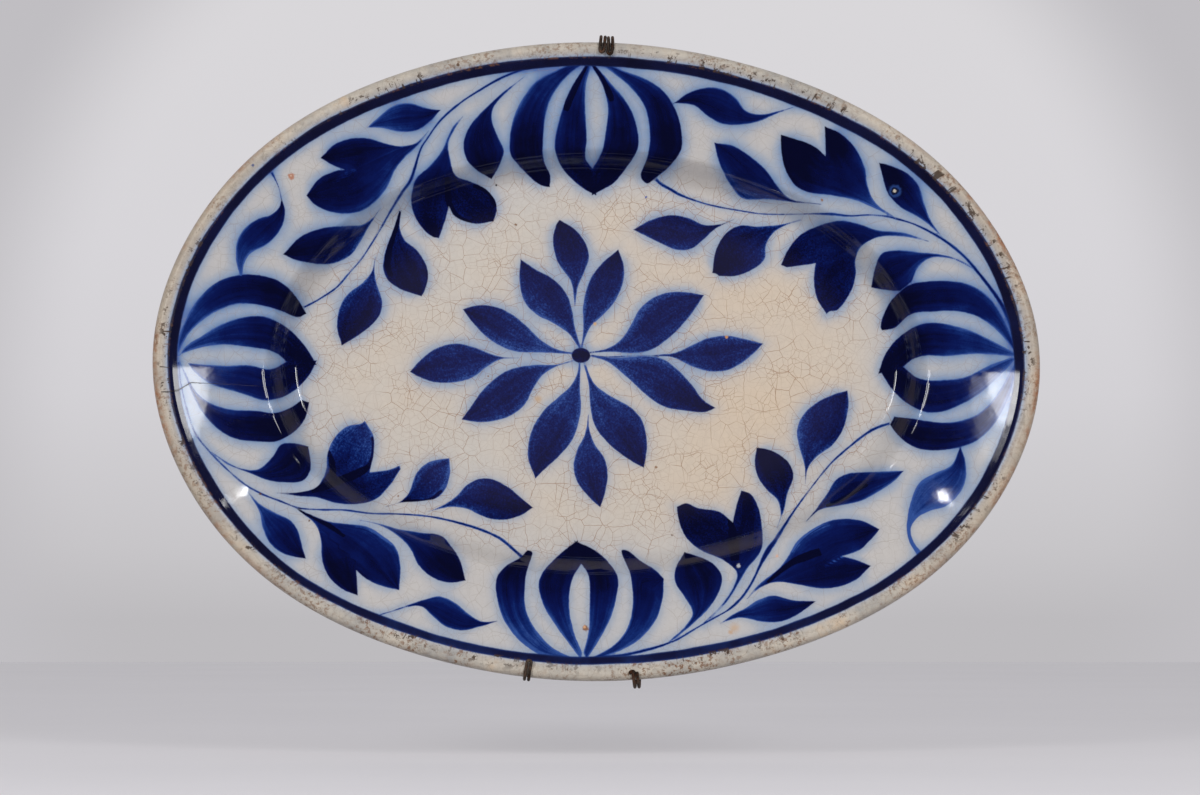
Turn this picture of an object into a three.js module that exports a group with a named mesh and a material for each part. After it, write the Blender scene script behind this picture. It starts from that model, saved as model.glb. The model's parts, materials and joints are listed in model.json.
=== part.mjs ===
// Oval serving platter of tin-glazed earthenware, gripped by a sprung wire hanger that hooks over its rim.
// Millimetres. +X runs along the platter's long axis, -Y out of its painted face and +Z up the wall.
// The origin is where the nail bears: the top inside of the hanging link, behind the platter.

import * as THREE from 'three';

// Rim outline: a plain ellipse, and how far the hand-shaped rim leaves it
const platterLength = 375;
const platterHeight = 271;
const diagonalFullness = 0.8;
const rimRipple = 0.3;
const eggAlong = 0.45;
const eggAcross = -0.4;
const diagonalSkew = -0.75;

// Section of the platter, from the edge inwards; depths are measured forward of the well's floor
const rimDepth = 24.5;
const rimThickness = 7;
const noseWidth = 3;
const lipWidth = 7;
const lipFall = 1.6;
const marlyWidth = 36;
const marlyFall = 10.6;
const shoulderWidth = 14;
const shoulderEase = 0.8;
const longEndSpread = 1.06;
const wellThickness = 6.4;
const footSetback = 2;
const footWidth = 7;
const footHeight = 4;
const footChamfer = 0.8;

// Wire hanger: hairpin hooks of thin iron wire, a link for the nail and two tension springs
const hookWire = 1.35;
const strandSpacing = 1.75;
const curlRadius = 2.2;
const curlSweep = 265;
const bendClearance = 2;
const bendReach = 2;
const linkWire = 1.8;
const linkRadius = 8;
const linkStraight = 20;
const linkFromTop = 83;
const linkOffset = 3;
const eyeOffset = 7;
const springWire = 1;
const springRadius = 2.5;
const coilPitch = 1.7;
const coilTurns = 22.25;
const loopLift = 1.5;
const loopSweep = 243;

// What rests on another piece keeps this gap to it
const seatGap = 0.3;

// Where the hooks cross the rim's edge along the platter, how far they stand off the edge, how far their
// tips reach over the lip, and how far the tips lean aside
const topHookLeft = { along: 3.2, noseGap: 1.8, tipReach: 5.6, lean: 0.15 };
const topHookRight = { along: 6.9, noseGap: 1.6, tipReach: 6.2, lean: -0.8 };
const bottomHookLeft = { along: -28.7, noseGap: 0.3, tipReach: 7.8, lean: 0.3 };
const bottomHookRight = { along: 18.1, noseGap: 2.4, tipReach: 4.4, lean: -2.3 };

const glazeColour = 0xd8d5cf;
const rustColour = 0x4a3d33;

// Triangle budget: these set how finely round shapes are cut
const ovalSteps = 96;
const noseSteps = 4;
const lipSteps = 2;
const slopeSteps = 3;
const shoulderSteps = 6;
const wireSides = 8;
const springSides = 6;
const curlSteps = 7;
const turnSteps = 8;
const foldSteps = 4;
const linkSteps = 26;

// Places that more than one piece shares, with the well's centre at 0, 0, 0
const footInset = lipWidth + marlyWidth + shoulderWidth + footSetback;
const footBack = wellThickness + footHeight;
const armDepth = footBack + seatGap + hookWire / 2;
const linkDepth = armDepth + curlRadius;
const linkHeight = platterHeight / 2 - linkFromTop;
const wellRadius = platterHeight / 2 - lipWidth - marlyWidth - shoulderWidth;

function rimShift(angle) {
  const shift = diagonalFullness * (1 - Math.cos(4 * angle)) / 2
    + rimRipple * Math.cos(8 * angle)
    + eggAlong * Math.cos(3 * angle)
    + eggAcross * Math.sin(3 * angle)
    + diagonalSkew * Math.sin(2 * angle);
  return 1 + shift * 4 / (platterLength + platterHeight);
}

// Half-length of the oval whose half-height is given: the marly is wider at the platter's two ends
function halfLength(halfHeight) {
  const atWell = platterLength / 2 - (platterHeight / 2 - wellRadius) * longEndSpread;
  if (halfHeight < wellRadius) return atWell * halfHeight / wellRadius;
  return platterLength / 2 - (platterHeight / 2 - halfHeight) * longEndSpread;
}

// How far the face stands forward of the well's floor at a distance in from the rim's edge
function faceDepth(inset) {
  const marlyTop = rimDepth - lipFall;
  const marlyFoot = marlyTop - marlyFall;
  const onLip = Math.max(0, (inset - noseWidth) / (lipWidth - noseWidth));
  const onMarly = (inset - lipWidth) / marlyWidth;
  const onShoulder = Math.min(1, (inset - lipWidth - marlyWidth) / shoulderWidth);
  if (onLip < 1) return rimDepth - lipFall * (1 - Math.cos(Math.PI * onLip)) / 2;
  if (onMarly < 1) return marlyTop - marlyFall * onMarly;
  return marlyFoot * (1 + Math.cos(Math.PI * Math.pow(onShoulder, shoulderEase))) / 2;
}

// The section as a closed lathe profile, from the middle of the face round the rim to the middle of the back
function platterSection() {
  const section = [];
  const add = (inset, depth) => section.push(new THREE.Vector2(platterHeight / 2 - inset, -depth));
  const marlyFoot = lipWidth + marlyWidth;
  add(platterHeight / 2, 0);
  for (let i = shoulderSteps; i > 0; i -= 1) {
    const inset = marlyFoot + shoulderWidth * i / shoulderSteps;
    add(inset, faceDepth(inset));
  }
  for (let i = slopeSteps; i > 0; i -= 1) {
    const inset = lipWidth + marlyWidth * i / slopeSteps;
    add(inset, faceDepth(inset));
  }
  for (let i = lipSteps; i > 0; i -= 1) {
    const inset = noseWidth + (lipWidth - noseWidth) * i / lipSteps;
    add(inset, faceDepth(inset));
  }
  for (let i = 0; i <= 2 * noseSteps; i += 1) {
    const turn = Math.PI * (0.5 - i / (2 * noseSteps));
    add(noseWidth * (1 - Math.cos(turn)), rimDepth - rimThickness * (1 - Math.sin(turn)) / 2);
  }
  for (let i = 0; i <= slopeSteps; i += 1) {
    const inset = lipWidth + marlyWidth * i / slopeSteps;
    add(inset, faceDepth(inset) - rimThickness);
  }
  for (let i = 1; i < shoulderSteps; i += 1) {
    const inset = marlyFoot + shoulderWidth * i / shoulderSteps;
    const thickness = rimThickness + (wellThickness - rimThickness) * i / shoulderSteps;
    add(inset, faceDepth(inset) - thickness);
  }
  add(footInset - footChamfer, -wellThickness);
  add(footInset, -footBack + footChamfer);
  add(footInset + footChamfer, -footBack);
  add(footInset + footWidth - footChamfer, -footBack);
  add(footInset + footWidth, -footBack + footChamfer);
  add(footInset + footWidth + footChamfer, -wellThickness);
  add(platterHeight / 2, -wellThickness);
  return section;
}

// The lathe's round turns are drawn out to the rim's oval, then laid upright
function makePlatter() {
  const body = new THREE.LatheGeometry(platterSection(), ovalSteps);
  const place = body.attributes.position;
  for (let i = 0; i < place.count; i += 1) {
    const round = Math.hypot(place.getX(i), place.getZ(i));
    const angle = Math.atan2(place.getZ(i), place.getX(i));
    const swell = rimShift(angle);
    const along = halfLength(round) * swell * Math.cos(angle);
    const above = round * swell * Math.sin(angle);
    place.setXYZ(i, along, place.getY(i), above);
  }
  return body;
}

// A curve whose steps fall on its own points, so that a straight run takes one step and a bend takes many
class WirePath extends THREE.CatmullRomCurve3 {
  getUtoTmapping(share) {
    return share;
  }
}

function makeWire(points, diameter, sides) {
  const corners = [];
  for (let i = 0; i < sides; i += 1) {
    const turn = 2 * Math.PI * i / sides;
    corners.push(new THREE.Vector2(Math.cos(turn), Math.sin(turn)).multiplyScalar(diameter / 2));
  }
  return new THREE.ExtrudeGeometry(new THREE.Shape(corners), {
    steps: points.length - 1,
    extrudePath: new WirePath(points),
  });
}

// Where the rim's edge lies above or below a distance along the platter
function rimEdge(along, up) {
  const angle = up * Math.acos(along / (platterLength / 2));
  return new THREE.Vector2(along, platterHeight / 2 * rimShift(angle) * Math.sin(angle));
}

// An arm runs straight from the link to the rim's edge. Its points are given by the distance along it
// from the link's wire, the offset beside it towards +X, and the depth behind the well's floor.
function makeArm(hook) {
  const eye = new THREE.Vector2(linkOffset + hook.side * eyeOffset, linkHeight + hook.up * linkRadius);
  const edge = rimEdge(hook.along, hook.up);
  const ahead = edge.clone().sub(eye).normalize();
  const beside = new THREE.Vector2(ahead.y, -ahead.x).multiplyScalar(hook.up);
  const at = (far, off, depth) => new THREE.Vector3(
    eye.x + ahead.x * far + beside.x * off,
    depth,
    eye.y + ahead.y * far + beside.y * off,
  );
  return { at, length: edge.distanceTo(eye) };
}

// One strand of a hairpin hook, from its curled end along the arm and round the rim to the tip
function hookStrand(hook, arm, eyeAt, offset) {
  const points = [];
  const wire = hookWire / 2;
  const behindLip = -(rimDepth - rimThickness) + seatGap + wire;
  const beforeLip = -rimDepth - seatGap - wire;
  const nose = arm.length + hook.noseGap + wire;
  const bend = arm.length - footInset + bendClearance;
  const tip = arm.length - hook.tipReach + wire + strandSpacing / 2;
  const slope = (behindLip - armDepth) / (arm.length - noseWidth - bend);
  for (let i = curlSteps; i > 0; i -= 1) {
    const turn = THREE.MathUtils.degToRad(curlSweep * i / curlSteps);
    const far = eyeAt - curlRadius * Math.sin(turn);
    points.push(arm.at(far, offset, linkDepth - curlRadius * Math.cos(turn)));
  }
  points.push(arm.at(eyeAt, offset, armDepth));
  points.push(arm.at(bend - 2 * bendReach, offset, armDepth));
  points.push(arm.at(bend, offset, armDepth + slope * bendReach / 4));
  points.push(arm.at(bend + 2 * bendReach, offset, armDepth + slope * 2 * bendReach));
  points.push(arm.at(arm.length - 3 * noseWidth, offset, behindLip - slope * 2 * noseWidth));
  points.push(arm.at(arm.length - noseWidth, offset, behindLip));
  const middle = (behindLip + beforeLip) / 2;
  const reach = (behindLip - beforeLip) / 2;
  for (let i = 1; i < turnSteps; i += 1) {
    const turn = Math.PI * i / turnSteps;
    const far = arm.length - noseWidth + (nose - arm.length + noseWidth) * Math.sin(turn);
    points.push(arm.at(far, offset + hook.lean * i / (2 * turnSteps), middle + reach * Math.cos(turn)));
  }
  points.push(arm.at(arm.length - noseWidth, offset + hook.lean / 2, beforeLip));
  points.push(arm.at(tip, offset + hook.lean, beforeLip));
  return points;
}

// A hairpin hook: two strands side by side, joined by the fold at the tip
function makeHook(hook, arm, eyeAt) {
  const half = strandSpacing / 2;
  const tip = arm.length - hook.tipReach + hookWire / 2 + half;
  const left = hookStrand(hook, arm, eyeAt, -half);
  const right = hookStrand(hook, arm, eyeAt, half);
  const fold = [];
  for (let i = 1; i < foldSteps; i += 1) {
    const turn = Math.PI * i / foldSteps;
    fold.push(arm.at(tip - half * Math.sin(turn), hook.lean - half * Math.cos(turn), left[left.length - 1].y));
  }
  return makeWire([...left, ...fold, ...right.reverse()], hookWire, wireSides);
}

// Distances along a lower arm: the spring's upper loop hangs on the link, its lower one holds the hook
function springPlaces() {
  const upperLoop = springRadius - (linkWire + springWire) / 2 - seatGap;
  const firstCoil = upperLoop + springRadius + loopLift;
  const lastCoil = firstCoil + coilPitch * coilTurns;
  const lowerLoop = lastCoil + springRadius + loopLift;
  return { upperLoop, firstCoil, lastCoil, lowerLoop, hookEye: lowerLoop + springRadius + seatGap / 2 };
}

// A tension spring wound from one wire, with a full loop at each end, the two at right angles
function makeSpring(arm) {
  const { upperLoop, firstCoil, lastCoil, lowerLoop } = springPlaces();
  const points = [];
  const loopSteps = turnSteps - 1;
  const sweep = THREE.MathUtils.degToRad(loopSweep);
  for (let i = loopSteps; i >= 0; i -= 1) {
    const turn = sweep * i / loopSteps;
    const far = upperLoop - springRadius * Math.sin(turn);
    points.push(arm.at(far, 0, linkDepth + springRadius * Math.cos(turn)));
  }
  points.push(arm.at((upperLoop + firstCoil) / 2, 0, linkDepth + springRadius));
  const coilSteps = Math.round(turnSteps * coilTurns);
  for (let i = 0; i <= coilSteps; i += 1) {
    const turn = 2 * Math.PI * coilTurns * i / coilSteps;
    const far = firstCoil + (lastCoil - firstCoil) * i / coilSteps;
    points.push(arm.at(far, springRadius * Math.sin(turn), linkDepth + springRadius * Math.cos(turn)));
  }
  points.push(arm.at((lastCoil + lowerLoop) / 2, springRadius, linkDepth));
  for (let i = 0; i <= loopSteps; i += 1) {
    const turn = sweep * i / loopSteps;
    points.push(arm.at(lowerLoop + springRadius * Math.sin(turn), springRadius * Math.cos(turn), linkDepth));
  }
  return makeWire(points, springWire, springSides);
}

// The hanging link: a wire ring drawn out to a long loop with straight sides
function makeLink() {
  const ring = new THREE.TorusGeometry(linkRadius, linkWire / 2, wireSides, linkSteps);
  const place = ring.attributes.position;
  for (let i = 0; i < place.count; i += 1) {
    const along = place.getX(i) + Math.sign(place.getX(i)) * linkStraight / 2;
    place.setX(i, along);
  }
  ring.rotateX(Math.PI / 2);
  ring.translate(linkOffset, linkDepth, linkHeight);
  return ring;
}

const glaze = new THREE.MeshStandardMaterial({ color: glazeColour, roughness: 0.2, metalness: 0 });
const rustyIron = new THREE.MeshStandardMaterial({ color: rustColour, roughness: 0.7, metalness: 0.6 });

const platterOnHanger = new THREE.Group();
platterOnHanger.position.set(-linkOffset, -linkDepth, -(linkHeight + linkRadius - linkWire / 2));

function addPiece(name, geometry, material) {
  const piece = new THREE.Mesh(geometry, material);
  piece.name = name;
  platterOnHanger.add(piece);
}

// The top hooks curl round the link's upper wire and bear on it from below
function addTopHook(name, hook, side) {
  const placed = { ...hook, side, up: 1 };
  const eyeAt = curlRadius - (hookWire + linkWire) / 2 - seatGap;
  addPiece(name, makeHook(placed, makeArm(placed), eyeAt), rustyIron);
}

// Each bottom hook hangs on the lower loop of its own spring
function addBottomHook(name, springName, hook, side) {
  const placed = { ...hook, side, up: -1 };
  const arm = makeArm(placed);
  addPiece(name, makeHook(placed, arm, springPlaces().hookEye), rustyIron);
  addPiece(springName, makeSpring(arm), rustyIron);
}

addPiece('platter', makePlatter(), glaze);
addPiece('hanging_link', makeLink(), rustyIron);
addTopHook('top_hook_left', topHookLeft, -1);
addTopHook('top_hook_right', topHookRight, 1);
addBottomHook('bottom_hook_left', 'spring_left', bottomHookLeft, -1);
addBottomHook('bottom_hook_right', 'spring_right', bottomHookRight, 1);

export default platterOnHanger;
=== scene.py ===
import json
import math

import bpy
import numpy as np
from mathutils import Vector
from mathutils.geometry import delaunay_2d_cdt
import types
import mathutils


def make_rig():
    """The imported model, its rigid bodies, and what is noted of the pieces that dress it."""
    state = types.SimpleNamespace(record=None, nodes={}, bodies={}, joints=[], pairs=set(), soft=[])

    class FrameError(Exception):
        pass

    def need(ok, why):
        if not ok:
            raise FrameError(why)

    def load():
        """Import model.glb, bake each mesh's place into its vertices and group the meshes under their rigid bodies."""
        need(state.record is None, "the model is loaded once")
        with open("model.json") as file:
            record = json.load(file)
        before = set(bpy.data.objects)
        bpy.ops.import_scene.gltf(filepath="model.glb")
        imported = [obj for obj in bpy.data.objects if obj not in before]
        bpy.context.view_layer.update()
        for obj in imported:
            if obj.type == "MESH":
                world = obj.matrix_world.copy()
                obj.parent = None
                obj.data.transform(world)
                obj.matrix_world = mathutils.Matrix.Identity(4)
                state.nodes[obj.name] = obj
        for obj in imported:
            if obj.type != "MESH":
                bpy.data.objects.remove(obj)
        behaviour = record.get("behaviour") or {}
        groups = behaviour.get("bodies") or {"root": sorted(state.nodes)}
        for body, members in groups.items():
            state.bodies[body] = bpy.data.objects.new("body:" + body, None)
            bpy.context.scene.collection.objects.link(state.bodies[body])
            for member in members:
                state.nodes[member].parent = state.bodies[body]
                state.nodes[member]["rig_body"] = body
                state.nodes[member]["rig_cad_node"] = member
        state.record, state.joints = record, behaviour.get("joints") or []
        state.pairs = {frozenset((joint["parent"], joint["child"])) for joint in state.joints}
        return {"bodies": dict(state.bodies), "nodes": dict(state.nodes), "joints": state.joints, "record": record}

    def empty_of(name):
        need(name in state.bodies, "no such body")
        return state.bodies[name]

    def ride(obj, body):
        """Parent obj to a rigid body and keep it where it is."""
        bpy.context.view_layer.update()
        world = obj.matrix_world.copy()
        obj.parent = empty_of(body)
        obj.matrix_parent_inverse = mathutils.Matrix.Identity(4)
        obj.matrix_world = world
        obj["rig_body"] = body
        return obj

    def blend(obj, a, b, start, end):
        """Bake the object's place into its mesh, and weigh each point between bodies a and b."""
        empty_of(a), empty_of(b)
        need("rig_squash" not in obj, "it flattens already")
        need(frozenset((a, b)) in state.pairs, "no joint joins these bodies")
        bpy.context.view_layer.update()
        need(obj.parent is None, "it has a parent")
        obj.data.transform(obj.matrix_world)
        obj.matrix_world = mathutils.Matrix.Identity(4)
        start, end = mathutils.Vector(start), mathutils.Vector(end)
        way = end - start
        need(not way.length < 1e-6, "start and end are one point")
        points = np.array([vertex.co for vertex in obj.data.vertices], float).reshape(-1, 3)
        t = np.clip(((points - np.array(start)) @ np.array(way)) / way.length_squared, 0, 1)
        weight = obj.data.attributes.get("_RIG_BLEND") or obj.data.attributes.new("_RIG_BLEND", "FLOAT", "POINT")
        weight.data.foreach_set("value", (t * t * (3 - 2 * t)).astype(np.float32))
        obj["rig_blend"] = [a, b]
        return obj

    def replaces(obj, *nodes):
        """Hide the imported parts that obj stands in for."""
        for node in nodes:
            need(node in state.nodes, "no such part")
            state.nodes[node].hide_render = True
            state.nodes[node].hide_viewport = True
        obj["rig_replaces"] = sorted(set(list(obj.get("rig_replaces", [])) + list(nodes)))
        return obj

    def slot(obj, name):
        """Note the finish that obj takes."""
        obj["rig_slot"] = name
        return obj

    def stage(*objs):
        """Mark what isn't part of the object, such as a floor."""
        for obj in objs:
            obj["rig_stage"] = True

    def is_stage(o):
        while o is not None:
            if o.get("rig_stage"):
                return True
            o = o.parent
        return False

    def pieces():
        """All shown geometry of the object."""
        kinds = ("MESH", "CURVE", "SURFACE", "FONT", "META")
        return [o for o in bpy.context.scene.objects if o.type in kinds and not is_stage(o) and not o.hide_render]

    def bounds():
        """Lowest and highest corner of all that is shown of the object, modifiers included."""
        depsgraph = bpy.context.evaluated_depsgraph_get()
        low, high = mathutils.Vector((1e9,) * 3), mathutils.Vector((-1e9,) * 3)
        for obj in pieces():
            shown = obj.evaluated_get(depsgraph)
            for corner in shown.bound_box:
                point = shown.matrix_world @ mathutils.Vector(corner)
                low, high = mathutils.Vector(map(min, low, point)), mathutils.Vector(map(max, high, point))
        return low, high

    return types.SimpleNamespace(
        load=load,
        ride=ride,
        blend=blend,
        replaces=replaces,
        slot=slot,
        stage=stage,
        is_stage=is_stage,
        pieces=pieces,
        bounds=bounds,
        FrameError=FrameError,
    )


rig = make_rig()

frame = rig.load()
cad_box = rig.bounds()

# The platter: an oval dish of earthenware, pressed over a mould with its foot ring, dipped in a pale tin
# glaze and painted with a brush in cobalt before the glaze was fired. Lengths are in millimetres, from the
# middle of the well: x to the right, z up, and depth towards the viewer.
platter_length = 375.0
platter_height = 271.0
diagonal_fullness = 0.8
rim_ripple = 0.3
egg_along = 0.45
egg_across = -0.4
diagonal_skew = -0.75
rim_depth = 24.5
rim_thickness = 7.0
nose_width = 3.0
lip_width = 7.0
lip_fall = 1.6
marly_width = 36.0
marly_fall = 10.6
marly_hollow = 0.35
shoulder_width = 14.0
shoulder_ease = 0.8
long_end_spread = 1.06
well_thickness = 6.4
foot_setback = 2.0
foot_width = 7.0
foot_height = 4.0
foot_round = 0.8
shoulder_inset = lip_width + marly_width
well_inset = shoulder_inset + shoulder_width
foot_inset = well_inset + foot_setback
well_radius = platter_height / 2 - well_inset
shoulder_height = rim_depth - lip_fall - marly_fall

# The frame starts at the nail on which the dish hangs, just under the upper wire of its hanging link, so the
# sizes that place the link behind the dish are needed here too.
hook_wire = 1.35
curl_radius = 2.2
seat_gap = 0.3
link_wire = 1.8
link_radius = 8.0
link_from_top = 83.0
link_offset = 3.0
link_height = platter_height / 2 - link_from_top
arm_depth = well_thickness + foot_height + seat_gap + hook_wire / 2
link_depth = arm_depth + curl_radius
nail_height = link_height + link_radius - link_wire / 2


def from_nail(x, depth, z):
    """Places on the dish, in metres from the nail that carries it."""
    places = np.stack((np.asarray(x) - link_offset, -np.asarray(depth) - link_depth,
                       np.asarray(z) - nail_height))
    return places.T * 0.001


def one_from_nail(x, depth, z):
    """A single place on the dish, in metres from the nail that carries it."""
    return Vector(from_nail([x], [depth], [z])[0])


def swell_at(angle):
    """How far the hand-made rim strays from an ellipse, as a factor."""
    stray = (diagonal_fullness * (1 - np.cos(4 * angle)) / 2 + rim_ripple * np.cos(8 * angle)
             + egg_along * np.cos(3 * angle) + egg_across * np.sin(3 * angle)
             + diagonal_skew * np.sin(2 * angle))
    return 1 + stray * 4 / (platter_length + platter_height)


def half_length(half_height):
    """Half the length of the ring that is this high: the slopes are a little longer at the long ends."""
    at_well = platter_length / 2 - (platter_height / 2 - well_radius) * long_end_spread
    on_slope = platter_length / 2 - (platter_height / 2 - half_height) * long_end_spread
    return np.where(half_height >= well_radius, on_slope, at_well * half_height / well_radius)


def ring_place(angle, inset):
    """The point of the ring that lies this far in from the rim."""
    half_height = platter_height / 2 - inset
    swell = swell_at(angle)
    return half_length(half_height) * swell * np.cos(angle), half_height * swell * np.sin(angle)


halvings = 34
innermost_ring = 0.01
beyond_rim = 6


def inset_at(x, z):
    """How far in from the rim a point of the face lies, by halving, and its angle round the oval."""
    low = np.full(x.shape, innermost_ring)
    high = np.full(x.shape, platter_height / 2 + beyond_rim)
    for _ in range(halvings):
        middle = (low + high) / 2
        angle = np.arctan2(z / middle, x / half_length(middle))
        outside = np.hypot(x / half_length(middle), z / middle) > swell_at(angle)
        low = np.where(outside, middle, low)
        high = np.where(outside, high, middle)
    middle = (low + high) / 2
    return platter_height / 2 - middle, np.arctan2(z / middle, x / half_length(middle))


def face_depth(inset):
    """How far the face stands in front of the well, from the lip over the slope and the shoulder."""
    on_lip = np.clip((inset - nose_width) / (lip_width - nose_width), 0, 1)
    on_marly = np.clip((inset - lip_width) / marly_width, 0, 1)
    on_shoulder = np.clip((inset - lip_width - marly_width) / shoulder_width, 0, 1)
    lip = rim_depth - lip_fall * (1 - np.cos(np.pi * on_lip)) / 2
    slope = shoulder_height * (1 + np.cos(np.pi * on_shoulder ** shoulder_ease)) / 2
    marly = marly_fall * (1 - on_marly) - marly_hollow * np.sin(np.pi * on_marly)
    return np.where(inset < lip_width, lip, marly + slope)


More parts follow.
